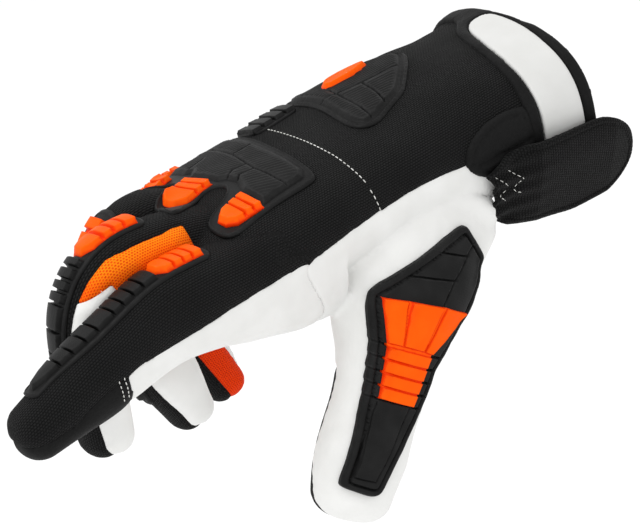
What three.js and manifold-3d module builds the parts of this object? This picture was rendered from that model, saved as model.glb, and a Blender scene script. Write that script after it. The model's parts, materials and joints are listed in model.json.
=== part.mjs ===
// Cut-resistant work glove for a right hand, in the form that it has when it is worn.
// Millimetres. The origin is the centre of the cuff's open rim. +X leads out of the cuff, +Z out of the back of the
// hand, and the thumb hangs on the -Y side.
import * as THREE from 'three';
import { mergeVertices } from 'three/addons/utils/BufferGeometryUtils.js';
import Module from 'manifold-3d';

const wasm = await Module();
wasm.setup();

// Thicknesses, and heights above the cloth.
const WALL = 1.8;
const GAP = 0.3;
const GUARD_BASE = 1.7;
const BLACK_BLOCK = 3.5;
const ORANGE_BLOCK = 4.4;
const ORANGE_WEB = 0.8;
const CUFF_BAND = 2.5;
const PATCH = 1.4;

// Where the leather of the palm starts, seen from the cuff, and where the palm's leather meets the thumb's.
const LEATHER_START = -42;
const THUMB_SEAM_Y = -22;
// Past this X the sections of the palm lean back towards the cuff on the little finger's side.
const KNUCKLE_LEAN = { start: -125, end: -160, rate: 0.4 };

// The tubes that make the hand. A row is one section: its centre, its half width, and its reach to back and palm.
const PALM = [
  { x: 0, y: 0, z: 0, side: 43, back: 25, palm: 27 },
  { x: -30, y: 0, z: 0, side: 41.5, back: 24, palm: 26 },
  { x: -58, y: 0, z: -1, side: 40, back: 22, palm: 26 },
  { x: -85, y: 0, z: -1, side: 41, back: 20, palm: 26 },
  { x: -115, y: 0, z: -1, side: 43, back: 18.5, palm: 25 },
  { x: -142, y: 0, z: -2, side: 44, back: 17.5, palm: 22 },
  { x: -160, y: 0, z: -3, side: 42, back: 13, palm: 17 },
];
const INDEX = [
  { x: -114, y: -28, z: -4, side: 14, back: 13, palm: 30 },
  { x: -132, y: -30, z: -3, side: 14, back: 14, palm: 28.5 },
  { x: -150, y: -31, z: -3, side: 13.5, back: 13.5, palm: 24.5 },
  { x: -166, y: -32, z: -3, side: 13, back: 13.5, palm: 19 },
  { x: -182, y: -33, z: -4, side: 12.5, back: 13.5, palm: 15.5 },
  { x: -200, y: -34, z: -8, side: 12, back: 12, palm: 14 },
  { x: -218, y: -35, z: -13, side: 11.5, back: 11, palm: 12.5 },
  { x: -235, y: -35, z: -17, side: 10.5, back: 9.5, palm: 9.5 },
];
const MIDDLE = [
  { x: -142, y: -9, z: 1, side: 12.5, back: 13, palm: 14 },
  { x: -168, y: -10, z: 8, side: 12.5, back: 12.5, palm: 12 },
  { x: -185, y: -11, z: 8.5, side: 12, back: 12, palm: 9 },
  { x: -196, y: -12, z: 0, side: 12, back: 11.5, palm: 9 },
  { x: -201, y: -13, z: -16, side: 11.5, back: 11, palm: 10 },
  { x: -202, y: -15, z: -38, side: 11.5, back: 11, palm: 10.5 },
];
const RING = [
  { x: -140, y: 13, z: 0, side: 12, back: 13, palm: 14 },
  { x: -158, y: 12, z: 6, side: 12, back: 12, palm: 11 },
  { x: -170, y: 11, z: 2, side: 11.5, back: 11.5, palm: 9 },
  { x: -176, y: 10, z: -10, side: 11.5, back: 11, palm: 9 },
  { x: -173, y: 7, z: -28, side: 11.5, back: 11, palm: 10 },
  { x: -168, y: 5, z: -42, side: 11, back: 11.5, palm: 11 },
  { x: -163, y: 4, z: -55, side: 10, back: 9.5, palm: 9.5 },
];
const LITTLE = [
  { x: -132, y: 33, z: -2, side: 11, back: 12, palm: 14 },
  { x: -146, y: 33, z: -1, side: 11, back: 11, palm: 10 },
  { x: -156, y: 32, z: -9, side: 10.5, back: 10, palm: 8 },
  { x: -156, y: 29, z: -24, side: 10, back: 9.5, palm: 8.5 },
  { x: -149, y: 25, z: -42, side: 9.5, back: 9, palm: 8.5 },
  { x: -138, y: 22, z: -62, side: 8.5, back: 8.5, palm: 8 },
];
const THUMB = [
  { x: -62, y: -20, z: -20, side: 24, back: 20, palm: 16 },
  { x: -84, y: -29, z: -28, side: 28, back: 18, palm: 16 },
  { x: -100, y: -36, z: -39, side: 26, back: 16, palm: 15 },
  { x: -110, y: -41, z: -50, side: 21.5, back: 15, palm: 14 },
  { x: -120, y: -45, z: -63, side: 18.5, back: 14, palm: 14 },
  { x: -131, y: -48, z: -77, side: 17.3, back: 14, palm: 13 },
  { x: -138, y: -50, z: -88, side: 15.5, back: 13, palm: 12 },
];
// The back of the thumb looks this way.
const THUMB_BACK = new THREE.Vector3(-0.19, -0.936, 0.298);

// The line along the side of the hand where the black cloth of the back meets the leather of the palm.
const BORDER = [
  { x: -20, z: -4 },
  { x: -44, z: -2.5 },
  { x: -70, z: -1 },
  { x: -96, z: -0.3 },
  { x: -133, z: -2.5 },
  { x: -168, z: -4.7 },
  { x: -190, z: -7 },
  { x: -206, z: -11 },
];

// How far round a finger the cloth of its back, its side wall and its palm reach, in degrees from the little finger's
// side over the back.
const BACK_EDGE = { ulnar: 48, radial: 132 };
const PALM_EDGE = { radial: 225, ulnar: 315 };

// The rubber guard on the back of each finger: a strip from one distance to another, and the joints between its
// blocks. The blocks up to the change are orange.
const STRIPS = [
  { finger: 'index', width: 15, start: 49.5, change: 68, end: 117, orange: [53.5, 57.5, 61], black: [72, 80, 91, 101] },
  { finger: 'middle', width: 15, start: 28.5, change: 47.5, end: 90, orange: [35, 39.3, 43], black: [52, 58, 65, 76] },
  { finger: 'ring', width: 14, start: 20.5, change: 36, end: 86, orange: [25, 31], black: [43, 51, 67] },
  { finger: 'little', width: 12, start: 20, change: 34, end: 78, orange: [24, 29], black: [40, 48, 62] },
];
const JOINT = 1;
const STRIP_MARGIN = 1.3;
// The feet of the blocks start this far inside the strip that carries them.
const SUNK = 0.25;

// The plate over the knuckles, seen from above: its outline, its raised black panels and its orange blocks.
const KNUCKLE_PLATE = [
  [-105, 40], [-106, 14], [-109, -23], [-112, -28], [-125, -29], [-148, -32.5], [-151, -29], [-151, -19],
  [-136.5, -12], [-133, -7], [-136, -2.5], [-143, -4], [-154, -12], [-159, -12], [-157.5, 3], [-139, 16.5],
  [-152.5, 19.5], [-153, 24], [-142, 31], [-141, 40], [-137, 42],
];
const KNUCKLE_PANELS = [
  [[-109, 11.5], [-111, -23], [-120, -25.5], [-119.5, -5], [-116, 11.5]],
  [[-107.5, 35], [-108.5, 14], [-115.5, 14], [-113.5, 35]],
  [[-122, -26], [-131, -27], [-131.5, -14], [-126, -4.8], [-121.2, -4.3]],
  [[-120.5, 2], [-131, 0], [-131.5, 17], [-118.5, 13]],
  [[-117.5, 16.5], [-130, 21.5], [-131.5, 31], [-117, 32]],
];
const KNUCKLE_CLUSTERS = [
  { x: -133.5, y: -22.3, turn: 0, width: 13, bars: [3, 3, 6.5], taper: 0.75 },
  { x: -136.5, y: 6, turn: 16, width: 14.5, bars: [3, 3, 9.5], taper: 0.72 },
  { x: -135, y: 25.5, turn: 14, width: 11, bars: [3, 3, 7], taper: 0.6 },
  { x: -124, y: 37, turn: 0, width: 7, bars: [3, 3, 6], taper: 0.8 },
];

// The small plate between the knuckles and the wrist, and the peaked one over the wrist.
const BRIDGE = { from: -103.5, to: -84, y: 26, width: 16, blocks: 4 };
const WRIST_PLATE = [
  [-82, 31], [-81.5, 9], [-83, -4], [-83.3, -13], [-80.5, -17.5], [-76, -18], [-59, -11], [-46, 3.5], [-41.5, 10],
  [-41.5, 16], [-46, 22], [-60, 34], [-77, 37], [-81, 35],
];
const WRIST_BLOCK = 4.8;
const WRIST_PANELS = [
  [[-80, 8], [-80.8, -4], [-80.8, -12.5], [-79.5, -15], [-76.5, -15.3], [-74.4, -8], [-73, 8]],
  [[-71.7, 8], [-73, -8], [-74.6, -15], [-68.5, -12.3], [-66, -5], [-64.6, 8]],
  [[-63.3, 8], [-64.6, -5], [-66.5, -11.5], [-60, -8.8], [-49.5, 3.5], [-45.5, 9.5], [-50, 8.6]],
  [[-80, 9], [-79.5, 31], [-76, 34], [-64, 30], [-50, 20], [-45, 15], [-45.2, 10.5], [-50, 9.6]],
];
const WRIST_EMBLEM = { outline: [[-76, 14], [-74, 22], [-64.5, 20], [-62, 12.5], [-66, 11], [-72, 11]], height: 1.2 };

// The guard over the thumb, seen from the side, in X and Z.
const THUMB_PLATE = [
  [-66, -19], [-60, -34], [-76, -50], [-97.5, -60], [-109, -68.5], [-122, -77], [-134.5, -87], [-139, -86],
  [-147, -79], [-146.5, -76], [-137, -64], [-127, -53.5], [-117, -39.5], [-110.5, -25.5],
];
const THUMB_PANELS = [
  [[-68.5, -21.5], [-77.5, -22.3], [-67.2, -29.3]],
  [[-80.5, -22.8], [-94, -24], [-77.5, -33.8], [-69, -30.8]],
  [[-97, -24.8], [-106.5, -26.5], [-98.6, -30.3], [-86, -38.2], [-79.5, -35]],
  [[-125, -58.5], [-115.5, -65.5], [-134.5, -80.8], [-141, -76.5]],
];
const THUMB_ORANGE = [
  [[-106, -28.2], [-99, -31.9], [-107.1, -44.3], [-111.6, -41]],
  [[-98, -32.3], [-86.8, -39.9], [-100.6, -49.6], [-106.6, -44.8]],
  [[-85.7, -40.6], [-77, -47], [-95.8, -54.4], [-100, -50.6]],
];
const THUMB_BARS = { left: [[-112.4, -42.3], [-123.2, -56]], right: [[-99.5, -51.8], [-114, -62.2]], count: 4 };

// The band round the cuff, seen from above, the blank strip let into it, and the smooth patch below its corner.
const BAND = [
  [-9, 60], [-10, 38], [-13, 27], [-18.7, 7.6], [-24.6, -15], [-27.1, -27.7], [-30, -39], [-31, -60], [0, -60], [0, 60],
];
const INSET = {
  outline: [
    [-8, 8.5], [-5, 6.5], [-4.5, 0], [-5.3, -11], [-7.4, -28], [-8, -60], [-25, -60], [-25, -38], [-24.6, -28],
    [-22.5, -14], [-18.5, 0], [-15.5, 5.5], [-12, 8.5],
  ],
  bottom: -7,
  height: 2,
};
const WRIST_PATCH = [
  [-31.8, 8], [-39, 8.7], [-49.4, 7.8], [-55.3, 5.2], [-57.3, 1.1], [-56.7, -3.1], [-53.8, -6.9], [-48, -10],
  [-31.8, -11],
];

// The pull tab: its outline in X and Z, the line that its outer face follows in Y and Z, and how far that line
// stands in towards the hand along X.
const TAB = {
  outline: [
    [-37, -3], [-28, -4], [-10, -5.6], [3, -8], [8, -12], [12.5, -19], [12, -26.5], [6.5, -34], [0, -38.5],
    [-11, -39.5], [-26, -36], [-44, -31], [-50, -23], [-44, -10],
  ],
  face: [[-48.7, 0], [-48.5, -6], [-46.8, -14], [-44, -21], [-40.5, -29], [-37, -36], [-33, -44]],
  stations: [
    { x: -55, inwards: 4.3 },
    { x: -42, inwards: 4.1 },
    { x: -32, inwards: 0.5 },
    { x: 2, inwards: 0.5 },
    { x: 15, inwards: 4 },
  ],
  thick: 2,
};

const COLOURS = {
  knit: { color: 0x1b1b1b, roughness: 0.9 },
  leather: { color: 0xebebe9, roughness: 0.7 },
  mesh: { color: 0xff6a10, roughness: 0.85 },
  rubber: { color: 0x2b2b2b, roughness: 0.55 },
  orange: { color: 0xff5a0a, roughness: 0.5 },
  binding: { color: 0x202020, roughness: 0.8 },
};

const radians = THREE.MathUtils.degToRad;

function curveThrough(rows, keys) {
  const points = rows.map((row) => new THREE.Vector3(...keys.map((key) => row[key])));
  return new THREE.CatmullRomCurve3(points, false, 'catmullrom', 0.5);
}

// A tube's frame at a distance from its root: its centre, its half sizes, and the ways along, across and up.
function tubeOf(rows, { backHint = null, power = 2.3, upright = false } = {}) {
  const centre = curveThrough(rows, ['x', 'y', 'z']);
  const size = curveThrough(rows, ['side', 'back', 'palm']);
  const length = centre.getLength();
  const frameAt = (distance) => {
    const t = centre.getUtoTmapping(THREE.MathUtils.clamp(distance / length, 0, 1));
    const [side, back, palm] = size.getPoint(t).toArray();
    const along = upright ? new THREE.Vector3(-1, 0, 0) : centre.getTangent(t);
    const across = backHint
      ? new THREE.Vector3().crossVectors(along, backHint).normalize()
      : new THREE.Vector3(0, 1, 0).addScaledVector(along, -along.y).normalize();
    const up = new THREE.Vector3().crossVectors(across, along).normalize();
    const at = centre.getPoint(t);
    const lean = upright ? KNUCKLE_LEAN.rate * THREE.MathUtils.smoothstep(-at.x, -KNUCKLE_LEAN.start,
      -KNUCKLE_LEAN.end) : 0;
    return { at, side, back, palm, along, across, up, power, lean };
  };
  return { frameAt, length };
}

// A point of the frame's section, which is a rounded rectangle-like oval, at an angle from the across direction.
function sectionPoint(frame, angle, grow, shrink = 1, shift = 0) {
  const c = Math.cos(angle);
  const s = Math.sin(angle);
  const rise = (s >= 0 ? frame.back : frame.palm) + grow;
  const u = (frame.side + grow) * shrink * Math.sign(c) * Math.abs(c) ** (2 / frame.power);
  const v = rise * shrink * Math.sign(s) * Math.abs(s) ** (2 / frame.power);
  return frame.at.clone().addScaledVector(frame.across, u).addScaledVector(frame.up, v)
    .addScaledVector(frame.along, shift - frame.lean * Math.max(0, u));
}

function ringOf(frame, sides, grow, shrink = 1, shift = 0) {
  return Array.from({ length: sides }, (_, i) =>
    sectionPoint(frame, (i / sides) * 2 * Math.PI, grow, shrink, shift));
}

// A closed skin through rings that all have the same number of points.
function loft(rings) {
  const n = rings[0].length;
  const points = rings.flat();
  const index = [];
  for (let r = 0; r + 1 < rings.length; r++) {
    for (let i = 0; i < n; i++) {
      const j = (i + 1) % n;
      const [a, b, c, d] = [r * n + i, r * n + j, (r + 1) * n + j, (r + 1) * n + i];
      index.push(a, b, c, a, c, d);
    }
  }
  for (const start of [0, (rings.length - 1) * n]) {
    const hub = points.push(rings[start / n].reduce((sum, p) => sum.add(p), new THREE.Vector3())
      .divideScalar(n)) - 1;
    for (let i = 0; i < n; i++) {
      const [a, b] = [start + i, start + ((i + 1) % n)];
      index.push(...(start === 0 ? [hub, b, a] : [hub, a, b]));
    }
  }
  const geometry = new THREE.BufferGeometry().setFromPoints(points);
  geometry.setIndex(index);
  return geometry;
}

// A closed geometry as a solid that can be joined and cut.
function solid(geometry) {
  geometry.deleteAttribute('normal');
  geometry.deleteAttribute('uv');
  const merged = mergeVertices(geometry, 1e-3);
  const triVerts = new Uint32Array(merged.index.array);
  const vertProperties = merged.attributes.position.array;
  const made = new wasm.Manifold(new wasm.Mesh({ numProp: 3, vertProperties, triVerts }));
  if (made.volume() >= 0) return made;
  for (let i = 0; i < triVerts.length; i += 3) {
    [triVerts[i + 1], triVerts[i + 2]] = [triVerts[i + 2], triVerts[i + 1]];
  }
  return new wasm.Manifold(new wasm.Mesh({ numProp: 3, vertProperties, triVerts }));
}

const union = (solids) => solids.reduce((all, next) => all.add(next));

function largest(whole) {
  return whole.decompose().sort((a, b) => b.volume() - a.volume())[0];
}

const SIDES = { palm: 14, finger: 8, thumb: 10 };
// Where along each tube its sections stand, as shares of its length.
const STATIONS = {
  palm: [0, 0.45, 0.87, 1],
  index: [0, 0.29, 0.55, 0.83, 1],
  middle: [0, 0.27, 0.42, 0.54, 0.7, 1],
  ring: [0, 0.2, 0.33, 0.46, 0.65, 1],
  little: [0, 0.17, 0.3, 0.43, 0.65, 1],
  thumb: [0, 0.22, 0.45, 0.62, 0.82, 1],
};
const PALM_END = 6;
const TIP_ANGLES = [0.8];
const palm = tubeOf(PALM, { power: 2.5, upright: true });
const fingers = {
  index: tubeOf(INDEX),
  middle: tubeOf(MIDDLE),
  ring: tubeOf(RING),
  little: tubeOf(LITTLE),
  thumb: tubeOf(THUMB, { backHint: THUMB_BACK, power: 2.2 }),
};

// The palm's tube, grown or shrunk, with a rounded far end. A cavity runs on out of the rim, so the cuff stays open.
function palmSolid(grow, out = 0) {
  const rings = [];
  if (out) rings.push(ringOf(palm.frameAt(0), SIDES.palm, grow, 1, -out));
  for (const share of STATIONS.palm) {
    rings.push(ringOf(palm.frameAt(share * palm.length), SIDES.palm, grow));
  }
  const end = palm.frameAt(palm.length);
  rings.push(ringOf(end, SIDES.palm, grow, 0.9, PALM_END + grow));
  return solid(loft(rings));
}

// A finger's tube, grown or shrunk, with a round tip and, on the thumb, a round heel.
function fingerSolid(name, grow) {
  const tube = fingers[name];
  const sides = name === 'thumb' ? SIDES.thumb : SIDES.finger;
  const rings = [];
  const root = tube.frameAt(0);
  if (name === 'thumb') {
    for (const angle of [...TIP_ANGLES].reverse()) {
      rings.push(ringOf(root, sides, grow, Math.cos(angle), -0.5 * (root.back + grow) * Math.sin(angle)));
    }
  }
  for (const share of STATIONS[name]) {
    rings.push(ringOf(tube.frameAt(share * tube.length), sides, grow));
  }
  const end = tube.frameAt(tube.length);
  for (const angle of TIP_ANGLES) {
    rings.push(ringOf(end, sides, grow, Math.cos(angle), (end.back + grow) * Math.sin(angle)));
  }
  return solid(loft(rings));
}

const skins = new Map();
// The whole hand's outside, grown by a height.
function skin(height) {
  if (!skins.has(height)) {
    const parts = Object.keys(fingers).map((name) => fingerSolid(name, height));
    skins.set(height, union([palmSolid(height, height < 0 ? 5 : 0), ...parts]));
  }
  return skins.get(height);
}

// What lies between two heights over the skin, inside a cutter.
function layer(cutter, low, high) {
  return cutter.intersect(skin(high)).subtract(skin(low));
}

function shapeOf(points) {
  return new THREE.Shape(points.map(([u, v]) => new THREE.Vector2(u, v)));
}

// A flat outline in X and Y made a block that stands over the back of the hand.
function planBlock(points, low = 0, high = 60) {
  const geometry = new THREE.ExtrudeGeometry(shapeOf(points), { depth: high - low, bevelEnabled: false });
  return solid(geometry.translate(0, 0, low));
}

// A flat outline in X and Z made a block that crosses the hand from one Y to another.
function sideBlock(points, fromY, toY) {
  const geometry = new THREE.ExtrudeGeometry(shapeOf(points), { depth: toY - fromY, bevelEnabled: false });
  return solid(geometry.rotateX(Math.PI / 2).translate(0, toY, 0));
}

// Two distances along a finger and the sections of its skin that stand between them.
function stationsBetween(name, from, to, more = []) {
  const between = [...STATIONS[name].map((share) => share * fingers[name].length), ...more]
    .filter((distance) => distance > from + 1 && distance < to - 1);
  return [from, ...between.sort((a, b) => a - b), to];
}

// How far a wedge reaches out past the skin.
const WEDGE_OVER = 1.2;
// A wedge of a finger between two distances and two angles, a little taller than its skin.
function wedge(name, { from, to, start, end }, grow = 0) {
  const tube = fingers[name];
  const over = WEDGE_OVER + grow;
  const rings = [];
  const arc = Math.max(3, Math.ceil((end - start) / 30));
  const slice = (frame, shift = 0) => {
    const widen = grow / frame.side;
    const points = [frame.at.clone().addScaledVector(frame.along, shift)];
    for (let i = 0; i <= arc; i++) {
      const angle = THREE.MathUtils.lerp(radians(start) - widen, radians(end) + widen, i / arc);
      points.push(sectionPoint(frame, angle, over, 1, shift));
    }
    return points;
  };
  const last = to === undefined ? tube.length : to + grow;
  for (const distance of stationsBetween(name, from - grow, last)) {
    rings.push(slice(tube.frameAt(distance)));
  }
  if (to === undefined) rings.push(slice(tube.frameAt(tube.length), 20));
  return solid(loft(rings));
}

// Everything under the line where the cloth of the back ends.
function belowBorder(start, end, fromY, toY, grow = 0) {
  const curve = new THREE.CatmullRomCurve3(BORDER.map((row) => new THREE.Vector3(row.x, 0, row.z)));
  const line = curve.getPoints(BORDER.length).filter((p) => p.x < start && p.x > end);
  const rows = [
    [start + grow, line[0].z + grow],
    ...line.map((p) => [p.x, p.z + grow]),
    [end - grow, line[line.length - 1].z + grow],
  ];
  return sideBlock([...rows, [end - grow, -60], [start + grow, -60]], fromY, toY);
}

// How far from its root each finger's own panels start, and the X of the seam over the back of the hand.
const FINGER_ROOT = { index: 40, middle: 13, ring: 13, little: 12 };
const BACK_SEAM = -98.5;
const WEB_START = { index: 39, middle: 11, ring: 11, little: 10 };
// All of a finger beyond a distance from its root, a little thicker than its skin.
function sleeve(name, from, grow = 0) {
  const tube = fingers[name];
  const rings = stationsBetween(name, from - grow, tube.length).map((distance) =>
    ringOf(tube.frameAt(distance), SIDES.finger, WEDGE_OVER + grow));
  return solid(loft([...rings, ringOf(tube.frameAt(tube.length), SIDES.finger, WEDGE_OVER + grow, 1, 20)]));
}

const WEB_END = { index: 90, middle: 58, ring: 44, little: 78 };
const TIP_PATCH = { from: 92, start: 203, end: 330 };

// The mesh between two fingers: one wall on each of them, joined in the crotch.
function webSpace([left, right], crotch, grow = 0) {
  const walls = [
    wedge(left, {
      from: WEB_START[left], to: WEB_END[left], start: PALM_EDGE.ulnar, end: 360 + BACK_EDGE.ulnar,
    }, grow),
    wedge(right, {
      from: WEB_START[right], to: WEB_END[right], start: BACK_EDGE.radial, end: PALM_EDGE.radial,
    }, grow),
  ];
  const { x, y, width, depth, top, bottom } = crotch;
  const far = x - depth - grow;
  const outline = [[x + grow, bottom - grow], [x + grow, top + grow], [far, top + grow], [far, bottom - grow]];
  return union([...walls, sideBlock(outline, y - width / 2 - grow, y + width / 2 + grow)]);
}
const WEBS = [
  { fingers: ['index', 'middle'], crotch: { x: -153, y: -20, width: 8, depth: 14, top: 11, bottom: -10 } },
  { fingers: ['middle', 'ring'], crotch: { x: -152, y: 1.5, width: 8, depth: 14, top: 11, bottom: -10 } },
  { fingers: ['ring', 'little'], crotch: { x: -146, y: 22.5, width: 8, depth: 14, top: 7, bottom: -10 } },
];

// The leather of the thumb and of the ball under it.
function thumbSpace(grow = 0) {
  const border = belowBorder(LEATHER_START, -131.5, -80, THUMB_SEAM_Y, grow);
  const reach = [
    [LEATHER_START + grow, -20], [-131.5 - grow, -5], [-128 - grow, -16], [-124 - grow, -27], [-172, -62],
    [-172, -120], [LEATHER_START + grow, -120],
  ];
  const below = sideBlock([
    [LEATHER_START + grow, 12], [-131.5 - grow, 12], ...reach.slice(1),
  ], -80, THUMB_SEAM_Y + grow);
  const deep = sideBlock([[0, -40], [-200, -40], [-200, -130], [0, -130]], -80, THUMB_SEAM_Y + grow);
  const shallow = border.intersect(below);
  return union([shallow, below.intersect(deep)]);
}
const THUMB_PATCH = { from: 66, start: -150, end: -4 };
// The side of the thumb that faces the palm, from its root to its tip patch.
const THUMB_FRONT = { ...THUMB_PATCH, from: 30, to: THUMB_PATCH.from };

function leatherSpace(grow = 0) {
  const parts = [
    palmSolid(1).intersect(belowBorder(LEATHER_START, -175, -60, 60, grow)),
    fingerSolid('thumb', 1).intersect(belowBorder(LEATHER_START, -140, THUMB_SEAM_Y - 1, 60, grow)),
    fingerSolid('index', 1).intersect(belowBorder(-110, -205, -60, -10, grow)),
    wedge('index', { from: 30, start: PALM_EDGE.ulnar - 30, end: 360 + BACK_EDGE.ulnar }, grow),
    wedge('little', { from: 0, start: PALM_EDGE.radial, end: 345 }, grow),
    wedge('little', { from: WEB_END.little, start: BACK_EDGE.radial, end: PALM_EDGE.radial + 4 }, grow),
  ];
  for (const name of ['middle', 'ring']) {
    parts.push(wedge(name, { from: 0, start: PALM_EDGE.radial, end: PALM_EDGE.ulnar }, grow));
    parts.push(wedge(name, { from: WEB_END[name], start: BACK_EDGE.radial, end: PALM_EDGE.radial + 4 }, grow));
    parts.push(wedge(name, {
      from: WEB_END[name], start: PALM_EDGE.ulnar - 4, end: 360 + BACK_EDGE.ulnar,
    }, grow));
  }
  return union(parts);
}

const root = new THREE.Group();
function add(name, finish, whole) {
  const mesh = largest(whole).getMesh();
  const position = new Float32Array(mesh.numVert * 3);
  for (let i = 0; i < mesh.numVert; i++) {
    position.set(mesh.vertProperties.subarray(i * mesh.numProp, i * mesh.numProp + 3), i * 3);
  }
  const geometry = new THREE.BufferGeometry();
  geometry.setAttribute('position', new THREE.BufferAttribute(position, 3));
  geometry.setIndex(new THREE.BufferAttribute(mesh.triVerts, 1));
  const piece = new THREE.Mesh(geometry, new THREE.MeshStandardMaterial({ ...COLOURS[finish], metalness: 0 }));
  piece.name = name;
  root.add(piece);
}

// The shell of cloth and leather, shared out between its panels from the smallest space to the widest.
const shell = skin(0).subtract(skin(-WALL));
const panels = [
  { name: 'thumb_tip_patch', finish: 'binding', space: (grow) => wedge('thumb', THUMB_PATCH, grow) },
  { name: 'index_tip_patch', finish: 'binding', space: (grow) => wedge('index', TIP_PATCH, grow) },
  { name: 'thumb_front', finish: 'leather', space: (grow) => wedge('thumb', THUMB_FRONT, grow) },
  { name: 'thumb_panel', finish: 'leather', space: thumbSpace },
  ...WEBS.map(({ fingers: pair, crotch }) => (
    { name: `${pair[0]}_${pair[1]}_web`, finish: 'mesh', space: (grow) => webSpace(pair, crotch, grow) })),
];
let rest = shell;
for (const { name, finish, space } of panels) {
  add(name, finish, rest.intersect(space(0)));
  rest = rest.subtract(space(GAP));
}

// What is left is leather below and knit above. Both are cut again at the roots of the fingers, and the knit also at
// the seam over the back of the hand and along the side of the wrist.
let leather = rest.intersect(leatherSpace(0));
let knit = rest.subtract(leatherSpace(GAP));
for (const [name, from] of Object.entries(FINGER_ROOT)) {
  const space = (grow) => sleeve(name, from, grow);
  add(`${name}_palm`, 'leather', leather.intersect(space(0)));
  add(`${name}_back`, 'knit', knit.intersect(space(0)));
  leather = leather.subtract(space(GAP));
  knit = knit.subtract(space(GAP));
}
add('palm_panel', 'leather', leather);
const cuffSpace = (grow) => belowBorder(5, LEATHER_START - 10, -60, 60, grow);
add('cuff_panel', 'knit', knit.intersect(cuffSpace(0)));
knit = knit.subtract(cuffSpace(GAP));
const wristSpace = (grow) => planBlock([[5, -60], [5, 60], [BACK_SEAM - grow, 60], [BACK_SEAM - grow, -60]], -60);
add('wrist_panel', 'knit', knit.intersect(wristSpace(0)));
add('back_panel', 'knit', knit.subtract(wristSpace(GAP)));

// A closed outline moved outwards by a distance.
function grownOutline(points, distance) {
  const turned = THREE.ShapeUtils.area(points.map(([x, y]) => new THREE.Vector2(x, y))) > 0 ? 1 : -1;
  return points.map(([x, y], i) => {
    const before = points.at(i - 1);
    const after = points[(i + 1) % points.length];
    const one = new THREE.Vector2(y - before[1], before[0] - x).normalize();
    const two = new THREE.Vector2(after[1] - y, x - after[0]).normalize();
    const out = one.add(two).normalize().multiplyScalar(turned * distance);
    return [x + out.x, y + out.y];
  });
}

// A stretch of the strip along the back of a finger, from one distance and one height to another.
function strip(name, from, to, width, low, high, more = []) {
  const rings = stationsBetween(name, from, to, more).map((distance) => {
    const frame = fingers[name].frameAt(distance);
    const row = (height) => {
      const reach = Math.acos((width / 2 / (frame.side + height)) ** (frame.power / 2));
      return [reach, Math.PI / 2, Math.PI - reach].map((angle) => sectionPoint(frame, angle, height));
    };
    return [...row(low), ...row(high).reverse()];
  });
  return solid(loft(rings));
}

// Blocks that stand on a finger's strip between the joints.
function stripBlocks(name, width, edges, low, high) {
  return edges.slice(1).map((edge, i) =>
    strip(name, edges[i] + JOINT / 2, edge - JOINT / 2, width - 2 * STRIP_MARGIN, low, high));
}

// A guard of one piece: a flat base with blocks standing on it.
function guard(base, blocks, height) {
  return union([layer(base, GAP, GUARD_BASE), ...blocks.map((block) => layer(block, GAP, height))]);
}

// Orange blocks joined at their feet by a thin web, seated on a guard's base.
function orangeBlocks(web, blocks) {
  const foot = GUARD_BASE + GAP;
  return union([layer(web, foot, foot + ORANGE_WEB), ...blocks.map((block) => layer(block, foot, ORANGE_BLOCK))]);
}

// The bars of an orange block row on the knuckles, which get narrower towards the finger.
function clusterOutlines({ x, y, turn, width, bars, taper }) {
  const whole = bars.reduce((sum, bar) => sum + bar + JOINT, -JOINT);
  const place = (along, across) => {
    const point = new THREE.Vector2(-along, across).rotateAround(new THREE.Vector2(), radians(turn));
    return [x + point.x, y + point.y];
  };
  const slice = (from, to) => {
    const [a, b] = [from, to].map((d) => (width / 2) * THREE.MathUtils.lerp(1, taper, d / whole));
    return [place(from, -a), place(from, a), place(to, b), place(to, -b)];
  };
  let at = 0;
  const blocks = bars.map((bar) => {
    const outline = slice(at, at + bar);
    at += bar + JOINT;
    return outline;
  });
  return { web: slice(0, whole), blocks };
}

add('knuckle_guard', 'rubber',
  guard(planBlock(KNUCKLE_PLATE), KNUCKLE_PANELS.map((outline) => planBlock(outline)), BLACK_BLOCK));
KNUCKLE_CLUSTERS.forEach((cluster, i) => {
  const { web, blocks } = clusterOutlines(cluster);
  add(`knuckle_pad_${i + 1}`, 'orange', orangeBlocks(planBlock(web), blocks.map((outline) => planBlock(outline))));
});

const bridgeOutline = (from, to, width) => planBlock([
  [from, BRIDGE.y - width / 2], [to, BRIDGE.y - width / 2], [to, BRIDGE.y + width / 2], [from, BRIDGE.y + width / 2],
]);
const bridgeStep = (BRIDGE.to - BRIDGE.from) / BRIDGE.blocks;
const bridgeBlocks = Array.from({ length: BRIDGE.blocks }, (_, i) => bridgeOutline(
  BRIDGE.from + i * bridgeStep + JOINT, BRIDGE.from + (i + 1) * bridgeStep - JOINT / 2, BRIDGE.width - 3));
add('bridge_guard', 'rubber',
  guard(bridgeOutline(BRIDGE.from, BRIDGE.to, BRIDGE.width), bridgeBlocks, BLACK_BLOCK));

const emblem = planBlock(WRIST_EMBLEM.outline);
add('wrist_guard', 'rubber',
  guard(planBlock(WRIST_PLATE), WRIST_PANELS.map((outline) => planBlock(outline)), WRIST_BLOCK));
add('wrist_emblem', 'orange', layer(emblem, WRIST_BLOCK + GAP, WRIST_BLOCK + GAP + WRIST_EMBLEM.height));

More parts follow.
